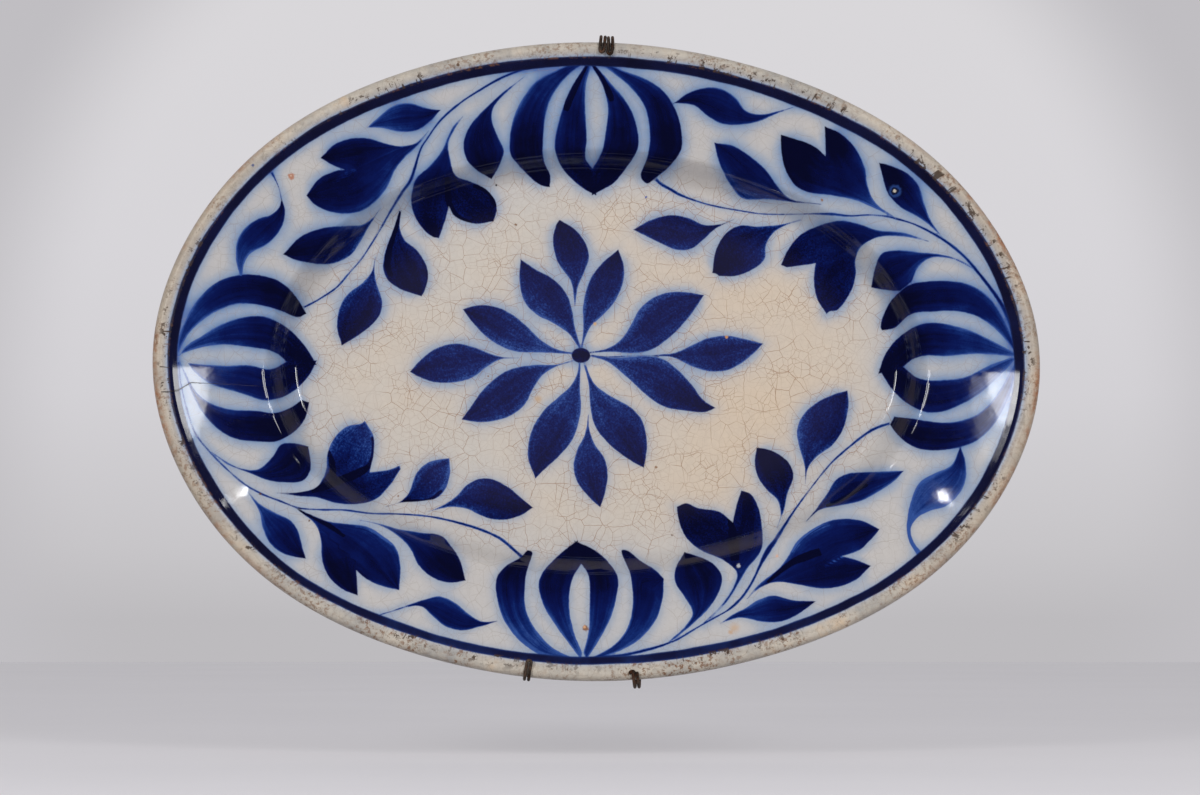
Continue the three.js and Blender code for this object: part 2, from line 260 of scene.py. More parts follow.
# Each brush mark's edge, as smooth runs from one sharp point to the next, and each stem with its width.
painted_shapes = {
    "curl_left": [
        [(-133.6, 69.5), (-132.2, 63.9), (-133.7, 57.3), (-139.8, 49.9), (-146.6, 46.1),
         (-149.5, 41.5)],
        [(-150.2, 36.2)],
        [(-151.1, 36.2), (-152.7, 43.1), (-152.1, 51), (-149.1, 56.2), (-143.2, 60.6), (-138.4, 62.2),
         (-134.5, 65.7)],
    ],
    "upper_left_leaf_1": [
        [(-97, 99.7), (-92.2, 104), (-85.5, 108.9), (-78.9, 109.9), (-71.6, 107.9)],
        [(-66, 107.3), (-70.5, 102.5), (-76, 98.9), (-83.3, 98.2), (-90.9, 99.5)],
    ],
    "upper_left_double_1": [
        [(-116.9, 86.6), (-111.1, 92.3), (-104.4, 94.8), (-97.2, 95.2), (-90, 93.3), (-83.3, 92.2),
         (-76.7, 93.6)],
        [(-71, 98.8), (-75.4, 93), (-81, 87.9), (-85.3, 82.8), (-88.7, 75.7), (-94, 69.1),
         (-101.3, 64.5), (-110.9, 63.8), (-119.8, 67.2)],
        [(-123.1, 70.8), (-117.9, 77.7), (-110.7, 81.4)],
        [(-107.2, 82), (-111.8, 83.8)],
    ],
    "upper_left_leaf_2": [
        [(-133.2, 45.9), (-126, 53.3), (-117.6, 57.1), (-107.1, 58.7), (-100.6, 59.6), (-95.8, 62.5)],
        [(-92.2, 66.6), (-96.5, 60.6), (-101.1, 53.4), (-105.8, 47.1), (-114.2, 43.2), (-122.9, 42.8),
         (-128.5, 43.9)],
    ],
    "upper_left_leaf_3": [
        [(-84.5, 66.2)],
        [(-83.5, 66.5), (-84.4, 60.1), (-82.4, 54.2), (-76.8, 49.3), (-73.1, 43.4), (-72.1, 37.2),
         (-73.6, 31.6)],
        [(-74.9, 29.5), (-83.5, 32.4), (-89.1, 36.2), (-91.5, 41.8), (-90.4, 49.4), (-87.3, 58.1)],
    ],
    "upper_left_leaf_4": [
        [(-94.8, 46.5), (-95.3, 41.1), (-94.2, 34.7), (-91.7, 26), (-93.4, 20.5), (-98.8, 14.9),
         (-104.9, 10.7)],
        [(-109.1, 8.2), (-111.2, 16.6), (-109.7, 25.4), (-106, 31), (-100.1, 35.4), (-96.2, 40.6)],
    ],
    "upper_left_double_2": [
        [(-56.5, 104.8), (-60.1, 99.4), (-62.7, 93.8), (-62.1, 87.4), (-59.9, 80.7), (-53.9, 78.8),
         (-47.3, 76), (-43, 70.9), (-42.6, 66.7)],
        [(-43.9, 62), (-52.8, 61.1), (-60.8, 64.5)],
        [(-63.2, 68.5), (-64.5, 63.2)],
        [(-67.4, 54.7), (-70, 55.2), (-74.4, 58.9), (-78.4, 65.3), (-79.1, 71.4), (-76.2, 79.4),
         (-70.7, 84.2), (-65.8, 90.2), (-62.5, 97.3), (-60.4, 100.9)],
    ],
    "upper_left_leaf_5": [
        [(-30.2, 121.3), (-39.6, 114.7), (-47.9, 107.2), (-53.5, 101), (-56.3, 93.3), (-54.8, 86.8),
         (-50.7, 82.9)],
        [(-44.7, 80), (-41.2, 85), (-39.1, 90.5), (-41.6, 96.4), (-44.2, 103.8), (-43.3, 108.7),
         (-38.5, 114.2)],
    ],
    "top_left_rib": [
        [(-3, 127.3), (-10.1, 126.5), (-17.4, 123.6), (-25.3, 119.2), (-30.5, 112.9), (-34.5, 105.3),
         (-36.5, 95.7), (-36, 89), (-30.5, 83.2), (-23.2, 77.6)],
        [(-19.6, 77), (-19.4, 81.7), (-22, 87.1), (-22.4, 92.9), (-21.6, 103), (-19.5, 111.2),
         (-15.6, 117.7), (-10.5, 122.9), (-5.2, 126.3)],
    ],
    "top_left_petal": [
        [(-3.6, 127), (-10.4, 116.5), (-13.7, 108.9), (-16.2, 100.1), (-17.3, 92.4), (-15.1, 86.1),
         (-9.6, 80), (-4.1, 75.7)],
        [(0.4, 73.5)],
        [(0.1, 83.5), (-4, 88.2), (-3.6, 96.2), (-4.3, 110.6), (-3.6, 119.5)],
        [(-1.7, 125.8)],
    ],
    "top_right_petal": [
        [(-1.3, 73.5), (7.7, 78.5), (13.2, 84.5), (17.7, 90.4), (18.7, 95.3), (16.5, 105.4),
         (11.9, 113), (5.8, 119.7)],
        [(-0.7, 127)],
        [(-1.5, 125.8), (3, 118.3), (5.5, 108.6), (4.8, 99.8), (2.8, 90.6)],
        [(-1.9, 83.5)],
    ],
    "top_right_rib": [
        [(-0.4, 127.2), (5.8, 126.3), (13.7, 123.2), (22.9, 119.8), (29.6, 115), (34.2, 108.2),
         (36.8, 99.9), (37, 91.7), (32.8, 85.6), (26.5, 81), (22.4, 78.5), (19.8, 81.4), (22.7, 89.5),
         (23.5, 97.7), (21.4, 108.9), (16.2, 115.9), (9.4, 121.8), (3.4, 125.8)],
    ],
    "left_upper_rib": [
        [(-176.7, 1.6), (-176.5, 8.4), (-173.4, 17), (-168.1, 26.2), (-160.5, 33.4), (-149.8, 36.9),
         (-138.1, 35.8), (-132.2, 32.7), (-127.9, 28.1)],
        [(-124.4, 21.9), (-127.8, 20.2), (-135.2, 22.4), (-144.6, 24.4), (-152.8, 24.3),
         (-161.7, 20.6), (-171.1, 12.8), (-174.8, 6.6)],
    ],
    "left_upper_petal": [
        [(-176, 1.8), (-173.3, 5.8), (-167.5, 9.9), (-159.9, 14.9), (-151.7, 18.3), (-143.4, 19.5),
         (-137, 18), (-130.5, 14), (-124.6, 7.5)],
        [(-119.7, -0.3)],
        [(-131.3, -0.2), (-136.7, 4.3), (-147.5, 6.2), (-157.7, 7), (-166.9, 5.6), (-174.4, 2.8)],
    ],
    "left_lower_petal": [
        [(-119.7, 1.7), (-122.7, -4.3), (-127.5, -9.8), (-133.6, -14.6), (-140.2, -16.5),
         (-150.9, -13.5), (-163.8, -9.5), (-169.7, -4.8)],
        [(-172.3, -1.4), (-158.1, -2.1), (-146.9, -1.7), (-138.8, -3)],
        [(-131.4, 1.8)],
    ],
    "left_lower_rib": [
        [(-176.4, 0.6), (-173.7, -4.7), (-168.7, -13.7), (-163.1, -18.1), (-154.9, -20.6),
         (-143.1, -21.1), (-136.6, -21.8), (-131.2, -19.5)],
        [(-126.2, -15.3)],
        [(-123, -16.4), (-124.6, -23.5), (-129, -30.1), (-134.8, -33.9), (-143.4, -34.2),
         (-152.3, -33.1), (-160, -29), (-165.9, -22.4), (-170.7, -13.6)],
    ],
    "upper_right_wavy_leaf": [
        [(33.7, 110.5), (39.9, 114.6), (48.4, 116.8), (55.7, 115.3), (60.4, 111.8), (64.3, 107),
         (71, 105.4), (78.9, 106.8)],
        [(84.5, 108.1), (75.9, 105), (69.8, 102.5), (62.5, 101.4), (54.6, 101.7), (48.5, 104.8),
         (42.4, 109.4)],
    ],
    "upper_right_leaf_1": [
        [(51.1, 94), (59, 92.6), (66.3, 88.1), (73.1, 82.4), (78.7, 74.9), (84.2, 70.4)],
        [(96.7, 67.7), (87.3, 68.8), (75.3, 70.9), (63.8, 71.9), (58.7, 76.6), (53.5, 85)],
    ],
    "upper_right_double_1": [
        [(79.4, 96.9), (86.2, 94.8), (93.6, 91.8)],
        [(98.4, 87.7), (98.3, 91.7)],
        [(97.9, 99.9), (104.3, 97.1), (110.5, 91.1), (114.8, 83), (116.4, 74.4), (119.8, 67.7)],
        [(128.6, 61), (119.8, 65.4), (109.5, 69.6), (100.1, 71.5), (91.4, 72.8), (85.3, 76.2),
         (81, 83.7), (79.5, 91.4)],
    ],
    "upper_right_leaf_2": [
        [(120.9, 84.5), (126.8, 82.7), (133.4, 79.3), (137.6, 74.4), (140.1, 66.7), (142.8, 60)],
        [(147.6, 52.9), (139.6, 60.1), (130, 66), (125.1, 71.2), (122.6, 78.4)],
    ],
    "upper_right_leaf_3": [
        [(16.5, 58.4), (23.7, 62.4), (32.4, 64.7), (40.4, 63.5), (46.6, 60.6), (54, 60.8)],
        [(59.8, 62.8), (52.1, 58.9), (47.5, 54.8), (41.6, 50.1), (35.4, 49.6), (25.6, 53.9)],
    ],
    "upper_right_leaf_4": [
        [(50.6, 39.6), (52.1, 49.3), (56.4, 56.7), (62.6, 60.2), (70.6, 59.8), (79.3, 60.5)],
        [(88.7, 62.5)],
        [(88.8, 62.1), (82.9, 60.6), (77, 57), (73.9, 52), (73, 45.6), (67.7, 41), (60.7, 38.4)],
        [(53.6, 38.3), (52, 39.3)],
    ],
    "upper_right_double_2": [
        [(80.3, 43.1), (83.5, 50.2), (89.7, 56.8), (96.8, 59.6), (104.9, 60.7), (112.7, 59.1),
         (120.9, 56.3), (131.9, 54.9)],
        [(142.1, 51.1), (131.9, 53.4), (121.8, 53.5), (113.9, 49.7), (112.1, 44.6), (112.4, 38.7),
         (110.2, 31.3), (104.3, 23.4), (101.2, 23)],
        [(99.7, 21.8), (95.6, 28.8), (94.4, 36.9)],
        [(95.1, 43.8), (90.9, 43.1)],
        [(82.8, 42.1)],
    ],
    "upper_right_leaf_5": [
        [(119, 33.2), (120.1, 40.6), (122.4, 46.4), (128.4, 47.7), (137.9, 46.6), (147.4, 45.4),
         (155.7, 42.5)],
        [(161.4, 38.6), (151, 43.7), (142.7, 44), (138, 40.6)],
        [(135.1, 34.1)],
        [(130.4, 30.5), (124.8, 31.6)],
    ],
    "right_upper_rib": [
        [(178.7, 1.6), (176.6, 9.6), (172.5, 18.8), (167.6, 26.2), (159.9, 31.9), (150.5, 34.2),
         (141, 34.1), (134.5, 33.1), (128.3, 28.4), (124.6, 22.3), (123, 16)],
        [(123.6, 14.7), (128.8, 15.6), (134.7, 20.4), (144.6, 21.4), (154, 21.2), (162.3, 18.8),
         (169.3, 13.8), (174.5, 8)],
    ],
    "right_upper_petal": [
        [(178.5, 2.2), (171.6, 6.4), (159.9, 12.7), (150.5, 15.7), (142.3, 16.7), (136, 15),
         (129.4, 10.4), (124.5, 3.5)],
        [(121.9, -4)],
        [(131.2, -2.3), (136.2, 1.7), (141.1, 2.7), (148.7, 2.3), (162.2, 3)],
        [(176.5, 1.6)],
    ],
    "right_lower_petal": [
        [(122.2, -2), (127.5, -10.5), (134.6, -18.1), (140.2, -21.4), (147.8, -21.4), (158.5, -16.9),
         (165.6, -12), (171.5, -6.5)],
        [(178.1, 0.5)],
        [(176.5, 1), (168, -1.8), (157.4, -6.9), (148.1, -7.9), (139.3, -7.2)],
        [(131.4, -0.3)],
    ],
    "right_lower_rib": [
        [(178.7, 0.5), (176.1, -12.4), (170.2, -25.2), (162.3, -33.6), (154.6, -36.8), (145.1, -38),
         (136.9, -36.9), (130.6, -32.7)],
        [(126.4, -26.1)],
        [(128.4, -22.7), (137.1, -24.5), (146.6, -26.1), (156, -25.3), (163.1, -22.2), (169.5, -15.6),
         (175.8, -4.9)],
    ],
    "rose_west": [
        [(-79.6, -3.2), (-74.8, 2.2), (-68, 7.1), (-59.4, 9), (-52, 7.3), (-44.6, 4.4), (-39.6, 3.1)],
        [(-32.7, 2.8), (-40.9, 2.2), (-47.1, -1.3), (-52, -5.2), (-60.6, -7.7), (-69.2, -7.6),
         (-76.6, -4.9)],
    ],
    "rose_west_north_west": [
        [(-57.1, 23.9), (-50.9, 25.5), (-43.4, 25), (-36.1, 21.7), (-29.3, 16.3), (-23.1, 10.3),
         (-15.7, 6.3)],
        [(-9.5, 5.1)],
        [(-9.5, 4.5), (-22.5, 5.1), (-34.8, 5.8), (-41.5, 8.4), (-47.7, 12.8), (-53.3, 18.9)],
    ],
    "rose_north_west": [
        [(-32.2, 45.6), (-25.6, 41.1), (-18.2, 36.9), (-12.7, 31), (-9.9, 23.5), (-8.6, 15.5)],
        [(-6.1, 7.1)],
        [(-6.9, 7.1), (-11.4, 13.4), (-18.2, 18), (-25.6, 21.9), (-30.5, 27.3), (-32.6, 36.5)],
    ],
    "rose_north": [
        [(-15.3, 62.6), (-9.6, 59.2), (-4.7, 53.6), (-2.7, 47.1), (-4.7, 40.1), (-7.4, 33.5)],
        [(-8.7, 25.3), (-10.5, 35.9), (-16.4, 44.9), (-18.1, 54.4), (-16.7, 60.8)],
    ],
    "rose_north_east": [
        [(10, 49.8), (12.5, 42.1), (12, 35.3), (8.9, 27.9), (3.4, 21.4), (-1.9, 16.4), (-4.6, 10.5)],
        [(-5.4, 7.1)],
        [(-6.1, 7.1), (-5.2, 13.6), (-5, 26), (-1.9, 37.2), (3, 43.7)],
    ],
    "rose_east_north_east": [
        [(46.9, 30), (39.7, 31.2), (32.3, 31.3), (24.9, 28.7), (19.4, 24.1), (15.6, 17.3),
         (11.3, 10.9), (5.8, 7.1)],
        [(-2.6, 5.3)],
        [(-2.6, 4.8), (7.7, 5.5), (16.3, 4.9), (23.6, 6.1), (32.9, 12.4), (40.9, 21.1)],
    ],
    "rose_east": [
        [(72.3, 8.9), (64.9, 10.9), (56.3, 12.4), (48.2, 11.2), (41.5, 8.2), (34.7, 5.1)],
        [(26.1, 4)],
        [(26.1, 3.6), (32.9, 3.2), (42.1, -0.9), (49.5, -3), (56.8, -2.5), (63, 0.6), (68.6, 5.1)],
    ],
    "rose_east_south_east": [
        [(51.7, -18.8), (46.4, -15.3), (41.4, -8.7), (35.3, -2.1), (29.2, 2.2), (21.8, 3.6),
         (8.9, 2.8)],
        [(-1.8, 3.9)],
        [(-1.8, 3.5), (5.2, 1.2), (14.4, -6.1), (23.6, -14.5), (30.4, -18.4), (38.4, -19.9),
         (47, -20.6)],
    ],
    "rose_south_east": [
        [(-5, 0.6), (-2.7, -9.2), (-2, -18.4), (-0, -26.4), (5.2, -33.5), (15, -41.3)],
        [(21, -44.6), (22.3, -35.2), (20.6, -25.2), (16.3, -19.4), (5.2, -12.8), (-0.3, -8.2)],
        [(-4.3, 0.4)],
    ],
    "rose_south": [
        [(-2.9, -21.8), (-2.4, -28.3), (-0.2, -34.5), (4, -40.5), (5.5, -47.3), (4.3, -55.3)],
        [(2.3, -61.5), (-0.9, -58.9), (-7.7, -50.4), (-9.2, -43.7), (-7.4, -36.3), (-4.3, -30.1)],
    ],
    "rose_south_west": [
        [(-7.1, 0.6)],
        [(-6.3, 0.6), (-6.4, -11.7), (-6.1, -19.7), (-9.5, -32), (-15.1, -39.1), (-21.2, -44.8)],
        [(-25.6, -49.1), (-28.8, -39.5), (-27.4, -29), (-21.8, -19.6), (-15.7, -14.1), (-10.2, -8.8),
         (-7.4, -2.9)],
    ],
    "rose_west_south_west": [
        [(-9.5, 1.8), (-16.9, -0.1), (-26.7, -0.3), (-36, -2.1), (-42.2, -5.5), (-48.2, -11.1),
         (-53.5, -18.3)],
        [(-57.2, -23.7), (-50.1, -24.9), (-41.5, -23.9), (-34.1, -20.8), (-29.5, -16.2),
         (-26.7, -10.4), (-22.4, -4.5), (-16.3, -0.7)],
        [(-9.5, 1.3)],
    ],
    "lower_left_leaf_1": [
        [(-162, -39), (-155.5, -43.3), (-149, -46), (-142.5, -46), (-137.3, -41.2), (-133.3, -35.2),
         (-127.6, -34.7)],
        [(-122.5, -35.6), (-121.1, -46.1), (-124, -50.7), (-130.6, -51.6), (-138.3, -50.7),
         (-147.8, -47.1), (-154.9, -44.4)],
    ],
    "lower_left_double_1": [
        [(-134.6, -56.1), (-124.5, -55.6), (-117.7, -52.9), (-115, -46.4), (-114.7, -38.2),
         (-112, -31.7), (-106.6, -26.8), (-100.7, -25.6)],
        [(-98.9, -24.4), (-95.1, -31.4), (-94.9, -36.9)],
        [(-96.7, -46.5), (-89.3, -45.6)],
        [(-83.9, -43.6)],
        [(-83.4, -45.1), (-88, -52.1), (-94, -58.1), (-101.4, -60.5), (-109.5, -60.3), (-118.5, -57.8),
         (-125.7, -57.3)],
    ],
    "lower_left_leaf_2": [
        [(-89.7, -61.4), (-83.7, -59.1), (-80, -55.6), (-76.7, -47), (-72.1, -42.5), (-66, -40.8)],
        [(-62.5, -40.4), (-62.3, -46.7), (-64.1, -53.5), (-68.3, -57.7), (-75.7, -59), (-83.1, -59.5)],
    ],
    "lower_left_leaf_3": [
        [(-71.5, -63.4), (-65.2, -60.6), (-59.2, -56.5), (-54.9, -51.9), (-49.4, -49.3),
         (-43.2, -49.8), (-37.1, -53.1), (-30.9, -58.1)],
        [(-26.6, -61.6), (-32.2, -65.1), (-40.1, -66.9), (-48.1, -65.4), (-54.9, -62.2),
         (-61.6, -61.3)],
    ],
    "lower_left_leaf_4": [
        [(-146.5, -56), (-141.5, -61), (-134.9, -64.7), (-128.9, -67.6), (-125.5, -72.4),
         (-123.5, -79.1)],
        [(-121.8, -84.1), (-130.9, -82), (-136.6, -77.9), (-140, -71.4), (-141.6, -64.5)],
    ],
    "lower_left_double_2": [
        [(-126.5, -62.6), (-119.5, -65.6), (-112.3, -68.3), (-103.9, -69.2), (-96.7, -70.3),
         (-90.6, -73.8), (-84.5, -79.2), (-82.4, -86.3)],
        [(-82.6, -97.2), (-90.7, -95.2), (-97.3, -91.9)],
        [(-100.7, -89)],
        [(-99.9, -99.5), (-106.7, -96.6), (-112.2, -91.3), (-115.1, -84.5), (-115.9, -76.6),
         (-117.9, -70.1)],
    ],
    "lower_left_leaf_5": [
        [(-99.8, -67.5), (-92, -68.9), (-83, -71.3), (-73.4, -72.7), (-65.6, -73.9), (-61.2, -78.5),
         (-57.3, -84.4)],
        [(-54.8, -93.1), (-61.3, -94), (-68.5, -91.9), (-75, -86.2), (-77.9, -80.4), (-82.2, -75.3),
         (-91.3, -69.6)],
    ],
    "lower_left_wavy_leaf": [
        [(-89.9, -107.5), (-80, -103.9), (-72.6, -101.4), (-65.4, -99.9), (-58.8, -102.7),
         (-52.7, -107.7), (-47.2, -110.5)],
        [(-41.2, -110.2), (-49, -112.8), (-55.5, -114.1), (-62.8, -112.5), (-68.2, -108.3),
         (-73.1, -104.2), (-80, -104.5)],
    ],
    "bottom_left_rib": [
        [(-5, -126.1), (-10.5, -125), (-17.7, -121.5), (-23.4, -115.9), (-27.7, -109.4),
         (-29.6, -103.2), (-29.7, -95.9), (-29, -89.5), (-27.2, -83.3), (-26.8, -80.9), (-28.7, -79.9),
         (-31.7, -83), (-37.9, -87), (-41.5, -91.6), (-41.8, -98), (-39.2, -108), (-34.2, -115.8),
         (-28.5, -121.1), (-21.3, -124.8)],
    ],
    "bottom_left_petal": [
        [(-7.5, -75.7), (-12.6, -79.5), (-18.3, -84.8), (-22.8, -90.7), (-23.9, -95.4),
         (-21.7, -103.7), (-16, -112.8), (-11.1, -119.4)],
        [(-5.9, -126.3)],
        [(-5.3, -123.7), (-9.1, -114), (-10.9, -103), (-9.7, -92.8)],
        [(-5.2, -84.8)],
    ],
    "bottom_right_petal": [
        [(-8.9, -75.8), (-0.9, -79.4), (5.8, -85.2), (9.7, -92), (9.4, -98.3), (7, -107.8),
         (2.1, -117.5)],
        [(-3.5, -126.3)],
        [(-4.9, -123.6), (-2.7, -114.6), (-2.3, -103.4), (-2.9, -90.7)],
        [(-7, -84.3)],
    ],
    "bottom_right_rib": [
        [(-2.5, -126.1), (6.9, -121.1), (12.9, -114.6), (15.7, -105.6), (15.9, -97.1), (14.6, -89.2),
         (11.7, -82.2), (11.4, -80), (14.1, -80.1), (19.2, -84.4), (25.8, -88.8)],
        [(29.1, -92.3), (28.7, -100.1), (25.9, -109.3), (19.5, -117.2), (11.7, -122.1), (3.3, -125.2)],
    ],
    "lower_right_leaf_1": [
        [(38.2, -80.8), (45.3, -83.3), (51.2, -86.9), (53.8, -91.4), (52.5, -97.7), (47.9, -104.9),
         (41.5, -111.2)],
        [(30.7, -120)],
        [(30.5, -119.2), (38.3, -112.1), (41.2, -106.8), (37.8, -100), (33.9, -93.5), (34.2, -88)],
    ],
    "lower_right_double_1": [
        [(35.1, -61.3), (39.2, -59.8), (43.9, -61.8), (53, -63.3)],
        [(59, -67.9), (60.3, -62.1)],
        [(62.7, -54.3), (66.5, -55.7), (69.9, -61.3), (71.5, -71.3), (70.3, -80.6), (65.1, -87.3),
         (61.9, -92.3), (55.8, -101.9)],
        [(45.3, -112.1)],
        [(44.6, -111.9), (52.7, -104.3), (58.8, -95.3), (60.1, -89.9), (54.3, -84.4), (44.8, -79.8),
         (39.4, -74.9), (36.3, -68.7)],
    ],
    "lower_right_leaf_2": [
        [(69.5, -35.9), (74.5, -36.7), (80.3, -39.7), (84.3, -44.3), (85.1, -48.5), (82.4, -55.9),
         (81.1, -62.1)],
        [(77.8, -70.4), (79.6, -64.5), (78.4, -58.7), (73.8, -54.1), (70.1, -48.9), (68.6, -42.5)],
    ],
    "lower_right_leaf_3": [
        [(108.5, -11.3), (102.3, -13.1), (94.9, -16.8), (89.3, -22.1), (86.8, -28.3), (87.7, -35.7),
         (89.9, -43.7)],
        [(90.2, -51.6), (91.4, -44.7), (95.3, -39.7), (102.2, -34.5), (106.5, -27.8), (109, -17.5)],
    ],
    "lower_right_leaf_4": [
        [(131.1, -46.6), (120.1, -46.8), (108.7, -47.1), (103.2, -49.8), (99.8, -55.1), (94.1, -62.9)],
        [(90, -67.8), (96, -62.9), (104.8, -61.1), (113.1, -59.3), (119.8, -55.7), (126.9, -51)],
    ],
    "lower_right_double_2": [
        [(120.3, -71.5), (114.1, -68.2), (106.4, -66.9), (98.5, -68.1), (91.3, -71.9), (85.7, -76.5),
         (82, -82.6), (77.6, -88.2), (69.1, -95)],
        [(64.2, -100.9), (69.1, -96.6), (76.3, -93.8), (86.5, -95), (94.8, -96.5), (103.2, -95.7),
         (110.4, -92.6)],
        [(116.3, -87), (110.1, -84.4)],
        [(104.6, -82.9), (112, -80.2), (117.5, -74.9)],
    ],
    "lower_right_leaf_5": [
        [(93, -101.9), (83.4, -101.5), (75.3, -99.5), (69, -101.3), (63.5, -104.8), (57.5, -107.8)],
        [(52.8, -111.2), (61.1, -108.9), (68.8, -110.3), (74.2, -110.8), (79.6, -110.1),
         (86.2, -106.8)],
    ],
    "curl_right": [
        [(154.7, -36.4), (156.5, -42.3), (156.6, -50.2), (154.1, -56), (148, -61.9), (142.1, -63.6),
         (136.2, -66.7), (133.3, -71.3), (134.6, -77.4)],
        [(137.7, -81.5)],
        [(135.7, -82.9), (132, -74.9), (132.2, -66.4), (134.2, -58.4), (137.7, -51.6), (144.3, -47.6),
         (150.8, -44.5), (153.5, -39.3)],
    ],
}
painted_stems = {
    "upper_left_stem": [
        (-21.3, 125.9, 1.1), (-32, 123.8, 1), (-40.5, 120.5, 1), (-49.1, 115.7, 0.9),
        (-57.6, 110.3, 0.9), (-66.2, 102.9, 0.9), (-71.8, 95.4, 0.8), (-74.3, 91.7, 1),
        (-75.8, 87.7, 1.1), (-77.4, 82.4, 1.3), (-79.3, 77.6, 1.5), (-81.8, 74.4, 1.3),
        (-84.4, 71, 1.2), (-89.6, 63.5, 0.8), (-95.9, 53.3, 0.7), (-101.2, 45.2, 0.7),
        (-105.7, 40, 0.7), (-111.3, 33.5, 0.8), (-118, 28.8, 0.8), (-125.2, 24.6, 0.8),
    ],
    "upper_right_stem": [
        (178.9, 3.3, 2.1), (177.4, 9.2, 1.9), (176, 14.5, 1.9), (172.9, 22.4, 1.8), (168.1, 30.1, 1.5),
        (162.8, 37.2, 1.3), (156.9, 44.3, 1.2), (149.7, 50.5, 1.2), (142.6, 55.1, 1),
        (135.4, 58.7, 0.8), (128.4, 61, 0.8),
    ],
    "upper_right_branch": [
        (128.4, 61, 0.8), (124.6, 62, 0.7), (117.4, 62.8, 0.6), (109, 62.6, 0.8), (102.4, 63.4, 1.3),
        (93.5, 64.2, 0.5), (81.6, 64.8, 0.4), (70.6, 65.4, 0.5), (62.6, 66.7, 0.5), (54, 68.2, 0.7),
        (45.3, 70.4, 0.8), (36.7, 73.6, 1.1), (32.4, 76.1, 1.3), (28.7, 78.1, 1.3), (26.2, 80.2, 1.3),
    ],
    "lower_left_stem": [
        (-176.2, -0.9, 0.8), (-175.1, -10.3, 0.6), (-171.7, -23.7, 0.6), (-168.7, -31.4, 0.7),
        (-163.2, -38.5, 0.7), (-154.2, -47.5, 0.7), (-147.6, -52.9, 0.8), (-141.1, -56.5, 0.8),
        (-132.7, -59.8, 0.7), (-125.5, -62.4, 0.6), (-116.6, -63.1, 0.8), (-106.4, -63.2, 0.8),
        (-96.4, -64.4, 0.8), (-83.5, -64.5, 0.8), (-70.8, -65.5, 0.9), (-57.3, -68.5, 1.1),
        (-48.7, -71.2, 1.1), (-40.7, -74.9, 1.3), (-33.9, -80.5, 1.3), (-30.8, -83.3, 1.3),
    ],
    "lower_right_stem": [
        (2.1, -125.7, 1.9), (11.1, -124.7, 1.5), (21.3, -122.4, 1.3), (26.1, -121.1, 1.1),
        (30.3, -119.7, 1), (34.1, -118.2, 1), (41.8, -113.7, 0.8), (49.1, -109.5, 0.8),
        (56.1, -105.6, 0.9), (61.8, -100.5, 1.1), (66.4, -93.8, 1.1), (69.9, -86.8, 1.3),
        (71.4, -83.8, 1.9), (73.6, -80.1, 2.3), (76.2, -76.5, 1.8), (80.2, -70.6, 1.3),
        (84, -64.9, 1.1), (88.7, -58.4, 0.8), (93.1, -52.6, 0.6), (99, -45.2, 0.7),
        (102.7, -41.2, 0.8), (110.1, -34.8, 1), (117.5, -29.2, 1.1), (122.4, -26.8, 1.2),
        (126.5, -25.6, 1.2),
    ],
    "curl_left_hair": [
        (-137.6, 80.2, 1.3), (-136.3, 77.7, 0.8), (-134.7, 74, 0.4), (-133.7, 69.5, 0.4),
    ],
    "rose_east_stalk": [
        (-1.3, 3.9, 0.5), (4.7, 3.2, 0.5), (12.9, 3.5, 0.4), (21.5, 3.8, 0.4), (26.2, 3.8, 0.4),
    ],
    "lower_left_wavy_leaf_stalk": [
        (-93.6, -109.4, 0.6), (-89.9, -107.5, 0.5), (-85, -106, 0.5), (-80, -104.2, 0.6),
    ],
}
rosette_dot = (-6.1, 3.9, 4.0, 3.3)

